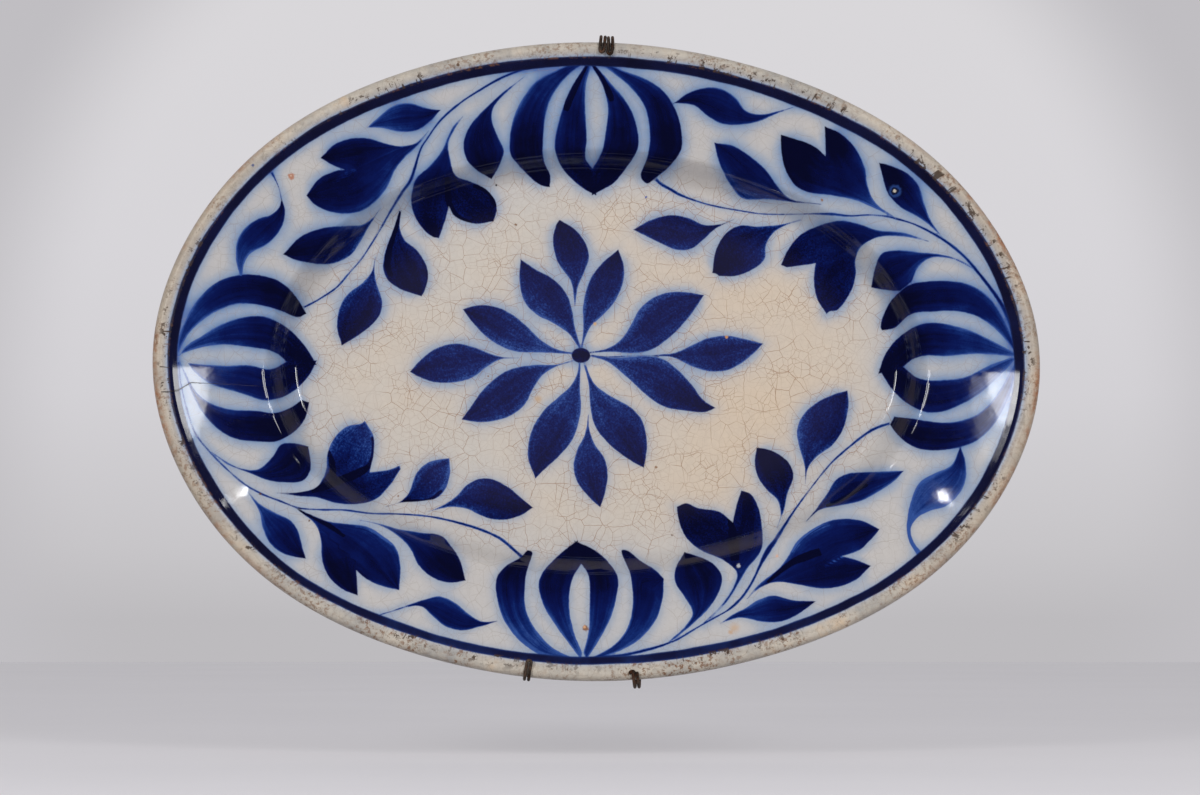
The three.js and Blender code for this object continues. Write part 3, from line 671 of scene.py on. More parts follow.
# Where the brush went over a mark again and the colour lies dark, and where it ran dry: x, z and width.
second_strokes = {
    "top_left_petal": [
        (-3.8, 126.2, 1.3), (-6.4, 121.7, 2.1), (-9.4, 115.5, 2.6), (-11.8, 110.2, 2.7),
        (-12.4, 107.7, 1.7),
    ],
    "top_right_petal": [
        (-0.9, 127, 1.3), (1.3, 122.9, 2), (3.8, 118.4, 2.4), (6.4, 113.9, 2.4), (7.2, 111.6, 1.4),
    ],
    "upper_left_leaf_3": [
        (-84.1, 66.1, 1), (-85.6, 60.6, 1.5), (-87.5, 54.8, 1.8), (-89, 49.1, 2), (-89.6, 43.5, 2.4),
        (-88, 38.3, 1.7),
    ],
    "upper_left_double_2": [
        (-63.6, 79.6, 1.3), (-63.6, 74, 1.9), (-62.9, 69.6, 2.2), (-61.2, 65.9, 2.1),
        (-58.4, 63.3, 1.7), (-53.6, 61.5, 1),
    ],
    "upper_left_double_2_edge": [
        (-52.3, 77.1, 0.7), (-48, 75.8, 1.1), (-45, 73.1, 1.2), (-43, 68.7, 0.8),
    ],
    "lower_left_double_1": [
        (-120.1, -55.1, 1.3), (-114.8, -53.1, 2.5), (-108.7, -50, 3), (-103, -47.4, 3),
        (-98.3, -44.9, 2.3), (-96, -41.6, 1.3), (-95.3, -36.5, 1), (-95.6, -31.3, 0.7),
    ],
    "lower_left_double_1_side": [
        (-114.4, -37.4, 0.8), (-113, -41.7, 1.8), (-112.2, -46.6, 2.1), (-112.3, -52.4, 1.7),
    ],
    "lower_left_double_2": [
        (-125.7, -62.9, 0.8), (-120.7, -65.4, 1.3), (-114.8, -68.6, 1.5), (-110.5, -71.3, 1.3),
        (-106.3, -74.3, 0.8),
    ],
    "lower_left_leaf_2": [
        (-81.9, -59, 0.7), (-78.1, -58.8, 1.1), (-73.4, -59, 1.3), (-69.1, -57.3, 1.1),
        (-65.9, -54.5, 0.8),
    ],
    "lower_right_double_1": [
        (57.8, -66.5, 1.5), (58.7, -70.8, 2.7), (59.1, -77.8, 3.6), (59.4, -84.4, 3),
    ],
    "lower_right_double_2": [
        (73.1, -93.8, 0.8), (77.4, -89.9, 1.5), (83.1, -85.7, 2.1), (89.3, -83, 3), (95.2, -80.9, 2.7),
    ],
    "lower_right_leaf_4": [
        (98.9, -61.2, 0.7), (106.9, -57.5, 1.1), (115.6, -52.3, 0.8),
    ],
}
dry_strokes = {
    "lower_left_double_2": [
        (-101.4, -70, 0.8), (-95, -72.3, 1.5), (-89.1, -75.3, 1.5), (-85.9, -77.4, 0.8),
    ],
    "lower_right_double_2": [
        (83.5, -80.6, 1), (86.9, -76.3, 1.9), (92.5, -71.9, 2), (99.3, -69.1, 1.3),
    ],
    "lower_right_double_2_notch": [
        (97.3, -86.9, 0.8), (101, -85.1, 1.4), (104.8, -83.1, 1.1),
    ],
    "upper_left_double_1": [
        (-111.9, 76.3, 0.8), (-107.6, 79.3, 1.3), (-102.1, 81.9, 1),
    ],
}


def smooth_through(points, spacing):
    """A smooth curve through the points, without overshoot at uneven gaps between them."""
    knots = [2 * points[0] - points[1], *points, 2 * points[-1] - points[-2]]
    curve = []
    for a, b, c, d in zip(knots, knots[1:], knots[2:], knots[3:]):
        t0 = 0.0
        t1 = t0 + math.sqrt(np.linalg.norm(b - a))
        t2 = t1 + math.sqrt(np.linalg.norm(c - b))
        t3 = t2 + math.sqrt(np.linalg.norm(d - c))
        steps = max(2, math.ceil(np.linalg.norm(c - b) / spacing))
        t = np.linspace(t1, t2, steps, endpoint=False)[:, None]
        ab = ((t1 - t) * a + (t - t0) * b) / (t1 - t0)
        bc = ((t2 - t) * b + (t - t1) * c) / (t2 - t1)
        cd = ((t3 - t) * c + (t - t2) * d) / (t3 - t2)
        abc = ((t2 - t) * ab + (t - t0) * bc) / (t2 - t0)
        bcd = ((t3 - t) * bc + (t - t1) * cd) / (t3 - t1)
        curve.extend(((t2 - t) * abc + (t - t1) * bcd) / (t2 - t1))
    curve.append(points[-1])
    return np.array(curve)


def closed_edge(runs, spacing):
    """The whole edge of a brush mark from its runs."""
    edge = []
    for run, following in zip(runs, runs[1:] + runs[:1]):
        points = [np.array(point, float) for point in run] + [np.array(following[0], float)]
        edge.extend(smooth_through(points, spacing)[:-1])
    return np.array(edge)


def stem_edge(stem, spacing):
    """The edge of a stem: its middle line moved to each side by half its width."""
    line = smooth_through([np.array(point, float) for point in stem], spacing)
    middle, half_width = line[:, :2], line[:, 2:] / 2
    ahead = np.gradient(middle, axis=0)
    ahead /= np.linalg.norm(ahead, axis=1)[:, None]
    beside = np.stack((-ahead[:, 1], ahead[:, 0]), axis=1)
    return np.concatenate((middle + beside * half_width, (middle - beside * half_width)[::-1]))


def to_segments(places, starts, ends):
    """For each place, the distance to the nearest of the segments, which one it is, and how far along it."""
    run = ends - starts
    length = np.maximum((run ** 2).sum(axis=1), 1e-9)
    offset = places[:, None, :] - starts[None, :, :]
    along = np.clip((offset * run[None]).sum(axis=2) / length, 0, 1)
    gap = np.linalg.norm(offset - along[..., None] * run[None], axis=2)
    nearest = gap.argmin(axis=1)
    rows = np.arange(len(places))
    return gap[rows, nearest], nearest, along[rows, nearest]


def is_inside(places, edge):
    """True where a place lies inside the closed edge."""
    start, end = edge, np.roll(edge, -1, axis=0)
    x, z = places[:, 0, None], places[:, 1, None]
    spans = (start[:, 1] > z) != (end[:, 1] > z)
    rise = np.where(end[:, 1] == start[:, 1], 1e-9, end[:, 1] - start[:, 1])
    crossing = start[:, 0] + (z - start[:, 1]) * (end[:, 0] - start[:, 0]) / rise
    return (spans & (x < crossing)).sum(axis=1) % 2 == 1


def gap_to_edge(places, edge):
    """How far each place lies from a closed edge, on either side of it."""
    return to_segments(places, edge, np.roll(edge, -1, axis=0))[0]


def signed_gap(places, edge):
    """How far each place lies from a closed edge, below 0 inside it."""
    gap = gap_to_edge(places, edge)
    return np.where(is_inside(places, edge), -gap, gap)


def which_near(places, edge, reach):
    """The numbers of the places that lie in the edge's box or no farther than this outside it."""
    above_low = places > edge.min(axis=0) - reach
    below_high = places < edge.max(axis=0) + reach
    return np.where((above_low & below_high).all(axis=1))[0]


def clear_of(places, edges, least):
    """True where a place keeps at least this far from all the edges."""
    clear = np.full(len(places), True)
    for edge in edges:
        near = which_near(places, edge, least)
        clear[near[gap_to_edge(places[near], edge) < least]] = False
    return clear


def reached_along(line):
    """How far along the line each of its points lies."""
    return np.concatenate(([0], np.cumsum(np.linalg.norm(np.diff(line, axis=0), axis=1))))


def along_and_beside(places, line):
    """For each place, how far along the line it lies, how far off the line, and on which side of it."""
    off_line, piece, part = to_segments(places, line[:-1], line[1:])
    reached = reached_along(line)
    along = reached[piece] + part * (reached[piece + 1] - reached[piece])
    ahead = line[piece + 1] - line[piece]
    from_start = places - line[piece]
    side = np.sign(ahead[:, 0] * from_start[:, 1] - ahead[:, 1] * from_start[:, 0])
    return along, off_line, side


path_steps = 24
sharp_notch = -0.15


def brush_path(edge, corners):
    """The middle line of a brush mark, between its two corners that lie farthest apart."""
    first, second = max(((a, b) for a in corners for b in corners if a < b),
                        key=lambda pair: np.linalg.norm(edge[pair[0]] - edge[pair[1]]))
    one_side = edge[first:second + 1]
    other_side = np.concatenate((edge[second:], edge[:first + 1]))[::-1]
    steps = np.linspace(0, 1, path_steps)
    sides = []
    for side in (one_side, other_side):
        reached = reached_along(side)
        reached /= reached[-1]
        sides.append(np.stack((np.interp(steps, reached, side[:, 0]),
                               np.interp(steps, reached, side[:, 1])), axis=1))
    return (sides[0] + sides[1]) / 2


def brush_strokes(edge, corners):
    """The middle lines of a mark's brush strokes: two where its edge has a notch, and one otherwise."""
    turn = edge - np.roll(edge, 1, axis=0), np.roll(edge, -1, axis=0) - edge
    bend = turn[0][:, 0] * turn[1][:, 1] - turn[0][:, 1] * turn[1][:, 0]
    bend *= np.sign((edge[:, 0] * np.roll(edge[:, 1], -1) - edge[:, 1] * np.roll(edge[:, 0], -1)).sum())
    notch = min(corners, key=lambda i: bend[i])
    if len(corners) < 4 or bend[notch] > sharp_notch:
        return [brush_path(edge, corners)]
    base = max(corners, key=lambda i: np.linalg.norm(edge[i] - edge[notch]))
    strokes = []
    for first, last in ((notch, base), (base, notch)):
        indices = [i % len(edge) for i in range(first, last + (len(edge) if last < first else 0) + 1)]
        lobe = edge[indices]
        from_base = 0 if first == base else len(lobe) - 1
        tip = int(np.linalg.norm(lobe - edge[base], axis=1).argmax())
        strokes.append(brush_path(lobe, sorted((from_base, tip))))
    return strokes


def along_line(line, spacing):
    """Evenly spaced points along a line."""
    reached = reached_along(line)
    steps = np.arange(0, reached[-1], spacing)
    return np.stack((np.interp(steps, reached, line[:, 0]), np.interp(steps, reached, line[:, 1])), axis=1)


# How thin the colour lies in a mark, from 0 to 1, and which way it thins out, as a step to the right and up.
brush_tones = {
    "curl_left": (0.5, -0.2, -0.4), "curl_right": (0.85, -0.15, -0.3),
    "upper_left_leaf_1": (0.6, -0.3, 0.15), "upper_left_double_1": (0.37, 0.4, -0.2),
    "upper_left_leaf_2": (0.35, 0.4, 0), "upper_left_leaf_3": (0.3, -0.15, 0.3),
    "upper_left_leaf_4": (0.4, 0, 0.4), "upper_left_double_2": (0.3, -0.15, 0.35),
    "upper_left_leaf_5": (0.4, 0.15, 0.4), "top_left_rib": (0.27, -0.2, 0.4),
    "top_left_petal": (0.3, 0, 0.35), "top_right_petal": (0.3, -0.15, 0.35),
    "top_right_rib": (0.28, -0.3, 0.3), "left_upper_rib": (0.35, -0.5, -0.15),
    "left_upper_petal": (0.4, -0.5, 0), "left_lower_petal": (0.4, -0.4, 0),
    "left_lower_rib": (0.3, -0.4, 0.15), "upper_right_wavy_leaf": (0.4, 0.15, 0.15),
    "upper_right_leaf_1": (0.35, -0.15, -0.4), "upper_right_double_1": (0.25, 0.5, -0.5),
    "upper_right_leaf_2": (0.35, 0.3, -0.3), "upper_right_leaf_3": (0.35, 0, -0.35),
    "upper_right_leaf_4": (0.35, 0.4, 0), "upper_right_double_2": (0.35, 0.3, 0.15),
    "upper_right_leaf_5": (0.5, 0.4, 0.3), "right_upper_rib": (0.35, 0.4, 0),
    "right_upper_petal": (0.4, 0.5, 0), "right_lower_petal": (0.4, 0.5, 0),
    "right_lower_rib": (0.35, 0.5, 0), "rose_west": (0.52, 0.15, 0.15),
    "rose_west_north_west": (0.57, 0.3, -0.15), "rose_north_west": (0.52, -0.15, -0.35),
    "rose_north": (0.42, 0, -0.4), "rose_north_east": (0.52, 0, -0.4),
    "rose_east_north_east": (0.57, -0.3, 0.15), "rose_east": (0.52, 0, 0.15),
    "rose_east_south_east": (0.52, -0.3, 0.15), "rose_south_east": (0.57, -0.15, 0.35),
    "rose_south": (0.52, 0, 0.3), "rose_south_west": (0.57, 0, 0.3),
    "rose_west_south_west": (0.57, 0.3, 0), "lower_left_leaf_1": (0.4, -0.5, 0.15),
    "lower_left_double_1": (0.45, 0.15, 0.3), "lower_left_leaf_2": (0.45, 0.3, 0),
    "lower_left_leaf_3": (0.45, -0.4, 0), "lower_left_leaf_4": (0.5, -0.3, 0.2),
    "lower_left_double_2": (0.35, 0.15, 0.35), "lower_left_leaf_5": (0.4, -0.4, 0.3),
    "lower_left_wavy_leaf": (0.5, 0, 0.15), "bottom_left_rib": (0.4, -0.1, -0.6),
    "bottom_left_petal": (0.4, 0, -0.55), "bottom_right_petal": (0.35, 0.15, -0.55),
    "bottom_right_rib": (0.4, 0.15, -0.5), "lower_right_leaf_1": (0.4, 0, -0.5),
    "lower_right_double_1": (0.3, 0.15, -0.3), "lower_right_leaf_2": (0.3, 0, -0.5),
    "lower_right_leaf_3": (0.45, -0.35, 0), "lower_right_leaf_4": (0.45, 0, 0.15),
    "lower_right_double_2": (0.45, -0.3, 0.3), "lower_right_leaf_5": (0.45, -0.35, 0),
    "rosette_dot": (0.1, 0, 0),
}
stem_tone = (0.62, 0.0, 0.0)

edge_spacing = 0.85
face_spacing = 1.25
beside_spacing = 0.55
dot_sides = 24
marks = {}
for name, runs in painted_shapes.items():
    edge = closed_edge(runs, edge_spacing)
    corner_places = [np.array(run[0], float) for run in runs]
    corners = sorted(int(np.linalg.norm(edge - place, axis=1).argmin()) for place in corner_places)
    if len(corners) == 1:
        corners.append(int(np.linalg.norm(edge - edge[corners[0]], axis=1).argmax()))
    marks[name] = (edge, brush_strokes(edge, sorted(corners)))
for name, stem in painted_stems.items():
    line = smooth_through([np.array(point, float) for point in stem], edge_spacing)
    marks[name] = (stem_edge(stem, edge_spacing), [line[:, :2]])
dot_x, dot_z, dot_across, dot_up = rosette_dot
dot_turn = np.linspace(0, 2 * np.pi, dot_sides, endpoint=False)
dot_edge = np.stack((dot_x + dot_across * np.cos(dot_turn), dot_z + dot_up * np.sin(dot_turn)), axis=1)
marks["rosette_dot"] = (dot_edge, [np.array(((dot_x - dot_across, dot_z), (dot_x + dot_across, dot_z)))])
mark_edges = [edge for edge, paths in marks.values()]
stroke_edges = [stem_edge(stem, edge_spacing) for stem in (*second_strokes.values(), *dry_strokes.values())]


def beside_edge(edge, gap):
    """Points on both sides of a closed edge, this far from it."""
    ahead = np.roll(edge, -1, axis=0) - np.roll(edge, 1, axis=0)
    ahead /= np.linalg.norm(ahead, axis=1)[:, None]
    beside = np.stack((-ahead[:, 1], ahead[:, 0]), axis=1) * gap
    return np.concatenate((edge + beside, edge - beside))


# The face's points lie on rings from the lip to the middle. Beside a brush mark they make way for its edge,
# so that every mark has an edge of its own in the mesh.
rim_count = 660
least_count = 8
ring_stretch = 1.05
lip_spacing = 0.8
smallest_ring = 1
edge_clearance = 0.5
least_gap = 0.2
narrow_mark = 1.2
merge_distance = 0.02
ring_insets = np.concatenate((np.arange(nose_width, lip_width, lip_spacing),
                              np.arange(lip_width, platter_height / 2 - smallest_ring, face_spacing)))
ring_points = []
for number, inset in enumerate(ring_insets):
    mean_radius = math.hypot(float(half_length(platter_height / 2 - inset)),
                             platter_height / 2 - inset) / math.sqrt(2)
    even_count = max(least_count, round(2 * np.pi * mean_radius / (face_spacing * ring_stretch)))
    count = rim_count if number == 0 else even_count
    angles = (np.arange(count) + 0.5 * (number % 2)) * 2 * np.pi / count
    ring_points.append(np.stack(ring_place(angles, inset), axis=1))
rim_ring, inner = ring_points[0], np.concatenate(ring_points[1:])
inner = inner[clear_of(inner, mark_edges, edge_clearance)]
extra = []
for edge, paths in marks.values():
    extra.append(beside_edge(edge, beside_spacing))
    for path in paths:
        line = along_line(path, edge_spacing)
        extra.append(line[(gap_to_edge(line, edge) < narrow_mark) & is_inside(line, edge)])
extra = np.concatenate(extra)
off_lip = inset_at(extra[:, 0], extra[:, 1])[0] > lip_width
extra = extra[off_lip & clear_of(extra, [*mark_edges, *stroke_edges], least_gap)]
points = [rim_ring, inner, extra]
links = [(i, (i + 1) % rim_count) for i in range(rim_count)]
count = len(rim_ring) + len(inner) + len(extra)
for edge in [*mark_edges, *stroke_edges]:
    points.append(edge)
    links += [(count + i, count + (i + 1) % len(edge)) for i in range(len(edge))]
    count += len(edge)
flat_points = [Vector(point) for point in np.concatenate(points)]
flat_places, _, flat_faces, _, _, _ = delaunay_2d_cdt(flat_points, links, [], 0, merge_distance, False)
face_places = np.array([tuple(place) for place in flat_places])
face_insets, face_angles = inset_at(face_places[:, 0], face_places[:, 1])
triangles = np.array([tuple(face) for face in flat_faces])
middles = face_places[triangles].mean(axis=1)
triangles = triangles[inset_at(middles[:, 0], middles[:, 1])[0] > nose_width - merge_distance]
turns = np.cross(face_places[triangles[:, 1]] - face_places[triangles[:, 0]],
                 face_places[triangles[:, 2]] - face_places[triangles[:, 0]])
triangles[turns < 0] = triangles[turns < 0][:, ::-1]

# What the glaze needs at each point of the face: how far the nearest mark's edge is, below 0 inside it, how
# much blue has bled there, the way that the brush ran, and how thin the colour lies.
far_from_paint = 40.0
mark_reach = 18.0
stroke_reach = 5
bleed_reach = 2.9
least_bleed = 0.45
second_bleed = 0.7
thick_mark = 3.0
least_half_width = 0.4
bare_tone = 0.5
mark_shift = 7.3
stroke_shift = 3.1
face_count = len(face_places)
paint_edge = np.full(face_count, far_from_paint)
most_bleed = np.zeros(face_count)
next_bleed = np.zeros(face_count)
brush_run = np.zeros((face_count, 3))
paint_tone = np.full(face_count, bare_tone)
for number, (name, (edge, paths)) in enumerate(marks.items()):
    near = which_near(face_places, edge, mark_reach)
    places = face_places[near]
    gap = signed_gap(places, edge)
    off_middle = np.min([to_segments(places, path[:-1], path[1:])[0] for path in paths], axis=0)
    thickness = np.clip((off_middle - gap) / thick_mark, 0, 1)
    strength = least_bleed + (1 - least_bleed) * thickness
    bled = strength * np.exp(-np.maximum(gap, 0) / bleed_reach)
    next_bleed[near] = np.maximum(next_bleed[near], np.minimum(most_bleed[near], bled))
    most_bleed[near] = np.maximum(most_bleed[near], bled)
    taken = gap < paint_edge[near]
    near, places, gap = near[taken], places[taken], gap[taken]
    paint_edge[near] = gap
    least_off = np.full(len(near), np.inf)
    for stroke, path in enumerate(paths):
        along, off_path, side = along_and_beside(places, path)
        half_width = np.maximum(off_path - gap, least_half_width)
        own_shift = np.full(len(near), number * mark_shift + stroke * stroke_shift)
        run = np.stack((along, side * off_path / half_width, own_shift), axis=1)
        nearer = off_path < least_off
        brush_run[near[nearer]] = run[nearer]
        least_off = np.minimum(least_off, off_path)
    tone, to_right, upward = brush_tones.get(name, stem_tone)
    low, high = edge.min(axis=0), edge.max(axis=0)
    from_middle = (places - (low + high) / 2) / ((high - low).max() / 2)
    paint_tone[near] = tone + to_right * from_middle[:, 0] + upward * from_middle[:, 1]
stroke_gaps = {}
for kind, strokes in (("second_gap", second_strokes), ("dry_gap", dry_strokes)):
    stroke_gaps[kind] = np.full(face_count, far_from_paint)
    for stroke in strokes.values():
        edge = stem_edge(stroke, edge_spacing)
        near = which_near(face_places, edge, stroke_reach)
        gap = signed_gap(face_places[near], edge)
        stroke_gaps[kind][near] = np.minimum(stroke_gaps[kind][near], gap)

# The crack in the left edge, from the rim across the band: how far a point lies beside it and along it.
crack_line = np.array(((-187.4, -14.6), (-184.8, -13.9), (-176.7, -13.3), (-171.0, -9.3), (-166.5, -9.6),
                       (-141.0, -10.4)))
crack_end = -135
crack_height = -11
crack_reach = 12
crack_off = np.full(face_count, far_from_paint)
crack_along = np.full(face_count, far_from_paint)
at_crack = (face_places[:, 0] < crack_end) & (abs(face_places[:, 1] - crack_height) < crack_reach)
crack_along[at_crack], off_line, side = along_and_beside(face_places[at_crack], crack_line)
crack_off[at_crack] = off_line * side

# The rest of the clay: the rim's rounded nose, the underside at the wall's thickness, and the foot ring.
nose_steps = 10
foot_flare = 0.8
slope_spacing = 6.0
shoulder_spacing = 1.8
back_spacing = 15.0

# The foot ring's outline: how far across it from its outer root, and how far down from the underside.
foot_outline = [(0.0, 0.0), (0.5, -0.6), (1.0, foot_round - foot_height), (1.3, 0.3 - foot_height),
                (2.0, -foot_height), (foot_width - 0.2, -foot_height), (foot_width + 0.5, 0.3 - foot_height),
                (foot_width + 0.8, foot_round - foot_height), (foot_width + 1.3, -0.6),
                (foot_width + 1.8, 0.0)]
back_profile = []
for turn in np.linspace(np.pi / 2, -np.pi / 2, nose_steps + 1)[1:]:
    back_profile.append((nose_width * (1 - math.cos(turn)),
                         rim_depth - rim_thickness * (1 - math.sin(turn)) / 2))
slope_insets = np.concatenate((np.arange(5.0, shoulder_inset, slope_spacing),
                               np.arange(shoulder_inset, foot_inset - 1.5, shoulder_spacing)))
for inset in slope_insets:
    on_shoulder = min(1.0, max(0.0, (inset - lip_width - marly_width) / shoulder_width))
    wall = rim_thickness + (well_thickness - rim_thickness) * on_shoulder
    back_profile.append((float(inset), float(face_depth(np.array(inset))) - wall))
back_profile += [(foot_inset - foot_flare + across, down - well_thickness) for across, down in foot_outline]
inner_insets = np.arange(foot_inset + foot_width + 8, platter_height / 2 - 1.5, back_spacing)
back_profile += [(inset, -well_thickness) for inset in inner_insets]
rim_angles = np.arange(rim_count) * 2 * np.pi / rim_count
# The insets that the mesh stores are below 0 on the underside, which tells it from the face.
back_places, back_insets, back_depths = [], [], []
for number, (inset, depth) in enumerate(back_profile):
    back_places.append(np.stack(ring_place(rim_angles, inset), axis=1))
    back_depths.append(np.full(rim_count, depth))
    around_nose = number < nose_steps / 2
    back_insets.append(np.full(rim_count, inset if around_nose else -inset))
back_places = np.concatenate(back_places)
back_depths = np.concatenate(back_depths)
back_insets = np.concatenate(back_insets)
first_back = face_count
last_ring = first_back + (len(back_profile) - 1) * rim_count
back_faces = []
for ring in range(len(back_profile)):
    outer = 0 if ring == 0 else first_back + (ring - 1) * rim_count
    nearer = first_back + ring * rim_count
    for i in range(rim_count):
        j = (i + 1) % rim_count
        back_faces.append((outer + j, outer + i, nearer + i, nearer + j))
middle_of_back = first_back + len(back_places)
back_faces += [(last_ring + (i + 1) % rim_count, last_ring + i, middle_of_back) for i in range(rim_count)]

face_depths = face_depth(face_insets)
vertices = np.concatenate((from_nail(face_places[:, 0], face_depths, face_places[:, 1]),
                           from_nail(back_places[:, 0], back_depths, back_places[:, 1]),
                           from_nail([0.0], [-well_thickness], [0.0])))
vertex_count = len(vertices)
face_triangles = [tuple(int(i) for i in triangle) for triangle in triangles]
platter_mesh = bpy.data.meshes.new("platter_body")
platter_mesh.from_pydata([tuple(vertex) for vertex in vertices], [], face_triangles + back_faces)
platter = bpy.data.objects.new("platter_body", platter_mesh)
bpy.context.scene.collection.objects.link(platter)

back_count = len(back_places) + 1
face_and_back = {
    "paint_edge": (paint_edge, far_from_paint),
    "paint_tone": (paint_tone, bare_tone),
    "bleed": (most_bleed + second_bleed * next_bleed, 0.0),
    "second_gap": (stroke_gaps["second_gap"], far_from_paint),
    "dry_gap": (stroke_gaps["dry_gap"], far_from_paint),
    "crack_off": (crack_off, far_from_paint),
    "crack_along": (crack_along, far_from_paint),
}
for name, (face_values, back_value) in face_and_back.items():
    values = np.concatenate((face_values, np.full(back_count, back_value)))
    platter_mesh.attributes.new(name, "FLOAT", "POINT").data.foreach_set("value", values)
rim_insets = np.concatenate((face_insets, back_insets, [-platter_height / 2]))
platter_mesh.attributes.new("rim_inset", "FLOAT", "POINT").data.foreach_set("value", rim_insets)
whole_angles = np.concatenate((face_angles, np.tile(rim_angles, len(back_profile)), [0.0]))
rim_x, rim_z = ring_place(whole_angles, 0.0)
rim_points = np.stack((rim_x, np.zeros(vertex_count), rim_z), axis=1) / 1000
whole_brush = np.concatenate((brush_run, np.zeros((back_count, 3))))
for name, values in (("brush_run", whole_brush), ("rim_point", rim_points)):
    platter_mesh.attributes.new(name, "FLOAT_VECTOR", "POINT").data.foreach_set("vector", values.ravel())

# The face shades as the true curved surface does, so that reflections run smoothly over its small triangles.
step = 0.05
x, z = face_places[:, 0], face_places[:, 1]
to_right = (face_depth(inset_at(x + step, z)[0]) - face_depth(inset_at(x - step, z)[0])) / (2 * step)
upward = (face_depth(inset_at(x, z + step)[0]) - face_depth(inset_at(x, z - step)[0])) / (2 * step)
normals = np.zeros((vertex_count, 3))
normals[:face_count] = np.stack((-to_right, -np.ones(face_count), -upward), axis=1)
normals[:face_count] /= np.linalg.norm(normals[:face_count], axis=1)[:, None]
normals[:rim_count] = 0
platter_mesh.polygons.foreach_set("use_smooth", np.full(len(platter_mesh.polygons), True))
platter_mesh.normals_split_custom_set_from_vertices([tuple(normal) for normal in normals])


def colour(red, green, blue):
    """A colour as it looks on a screen, each part from 0 to 255."""
    return (*[((part / 255 + 0.055) / 1.055) ** 2.4 for part in (red, green, blue)], 1.0)


def place_node(tree, kind, **settings):
    """A new shader node with its settings."""
    node = tree.nodes.new("ShaderNode" + kind)
    for name, value in settings.items():
        setattr(node, name, value)
    return node


def feed(tree, socket, value):
    """Links a socket to another one, or sets it to a plain value."""
    if isinstance(value, bpy.types.NodeSocket):
        tree.links.new(value, socket)
    else:
        socket.default_value = value


def reckon(tree, operation, *values, clamp=False):
    """The result of one step of arithmetic on plain values or sockets."""
    node = place_node(tree, "Math", operation=operation, use_clamp=clamp)
    for socket, value in zip(node.inputs, values):
        feed(tree, socket, value)
    return node.outputs[0]


def reckon_vector(tree, operation, *values):
    """The same on vectors, where a distance, a length or a dot product gives a number."""
    node = place_node(tree, "VectorMath", operation=operation)
    for socket, value in zip(node.inputs, values):
        feed(tree, socket, value)
    if operation in ("DISTANCE", "LENGTH", "DOT_PRODUCT"):
        return node.outputs["Value"]
    return node.outputs["Vector"]


def spread(tree, value, low, high, to_low=0.0, to_high=1.0, kind="SMOOTHSTEP"):
    """The value's range from low to high, spread over another range and held at its ends."""
    node = place_node(tree, "MapRange", interpolation_type=kind)
    for socket, given in zip(node.inputs, (value, low, high, to_low, to_high)):
        feed(tree, socket, given)
    return node.outputs[0]


def blend_colours(tree, share, first, second, mode="MIX"):
    """The second colour laid over the first by this share."""
    node = place_node(tree, "Mix", data_type="RGBA", blend_type=mode)
    feed(tree, node.inputs[0], share)
    feed(tree, node.inputs[6], first)
    feed(tree, node.inputs[7], second)
    return node.outputs[2]


def grain(tree, vector, scale, detail=2.0, rough=0.5, warp=0.0):
    """Soft noise of about 1 / scale metres, as a number near 0.5."""
    node = place_node(tree, "TexNoise")
    feed(tree, node.inputs["Vector"], vector)
    for name, value in (("Scale", scale), ("Detail", detail), ("Roughness", rough), ("Distortion", warp)):
        node.inputs[name].default_value = value
    return node.outputs[0]


def shades(tree, value, stops):
    """Colours along a number from 0 to 1."""
    node = place_node(tree, "ValToRGB")
    feed(tree, node.inputs[0], value)
    elements = node.color_ramp.elements
    while len(elements) < len(stops):
        elements.new(1.0)
    for element, (position, shade) in zip(elements, stops):
        element.position = position
        element.color = shade
    return node.outputs[0]


def swing(tree, value, amount):
    """Noise as a number that swings by half this amount about zero."""
    return reckon(tree, "MULTIPLY_ADD", value, amount, -amount / 2)


def total(tree, *values):
    """All the values added up."""
    result = values[0]
    for value in values[1:]:
        result = reckon(tree, "ADD", result, value)
    return result


def product(tree, *values):
    """All the values multiplied."""
    result = values[0]
    for value in values[1:]:
        result = reckon(tree, "MULTIPLY", result, value)
    return result


def attribute(tree, name, output="Fac"):
    """What the mesh stores at each point under this name."""
    return place_node(tree, "Attribute", attribute_name=name).outputs[output]


def new_material(name):
    """An empty material with the Principled shader, and its node tree."""
    material = bpy.data.materials.new(name)
    material.use_nodes = True
    return material, material.node_tree, material.node_tree.nodes["Principled BSDF"]


def raise_relief(tree, shader, height):
    """Gives the surface a fine relief of this height, in metres."""
    bump = place_node(tree, "Bump")
    bump.inputs["Distance"].default_value = 1.0
    feed(tree, bump.inputs["Height"], height)
    feed(tree, shader.inputs["Normal"], bump.outputs[0])


# Grime and rust both settle in patches that break up into specks, so the two materials share one group.
grime = bpy.data.node_groups.new("patchy_grime", "ShaderNodeTree")
for name, kind in (("Place", "NodeSocketVector"), ("Scale", "NodeSocketFloat"), ("Bare", "NodeSocketFloat"),
                   ("Softness", "NodeSocketFloat")):
    grime.interface.new_socket(name=name, in_out="INPUT", socket_type=kind)
grime.interface.new_socket(name="Mask", in_out="OUTPUT", socket_type="NodeSocketFloat")
given = grime.nodes.new("NodeGroupInput").outputs
patches = grain(grime, given["Place"], 1.0, 3.0, 0.6)
specks = grain(grime, given["Place"], 1.0, 4.0, 0.75)
feed(grime, patches.node.inputs["Scale"], given["Scale"])
feed(grime, specks.node.inputs["Scale"], reckon(grime, "MULTIPLY", given["Scale"], 4.3))
cover = total(grime, reckon(grime, "MULTIPLY", patches, 0.6), reckon(grime, "MULTIPLY", specks, 0.4))
mask = spread(grime, cover, given["Bare"], reckon(grime, "ADD", given["Bare"], given["Softness"]))
feed(grime, grime.nodes.new("NodeGroupOutput").inputs["Mask"], mask)


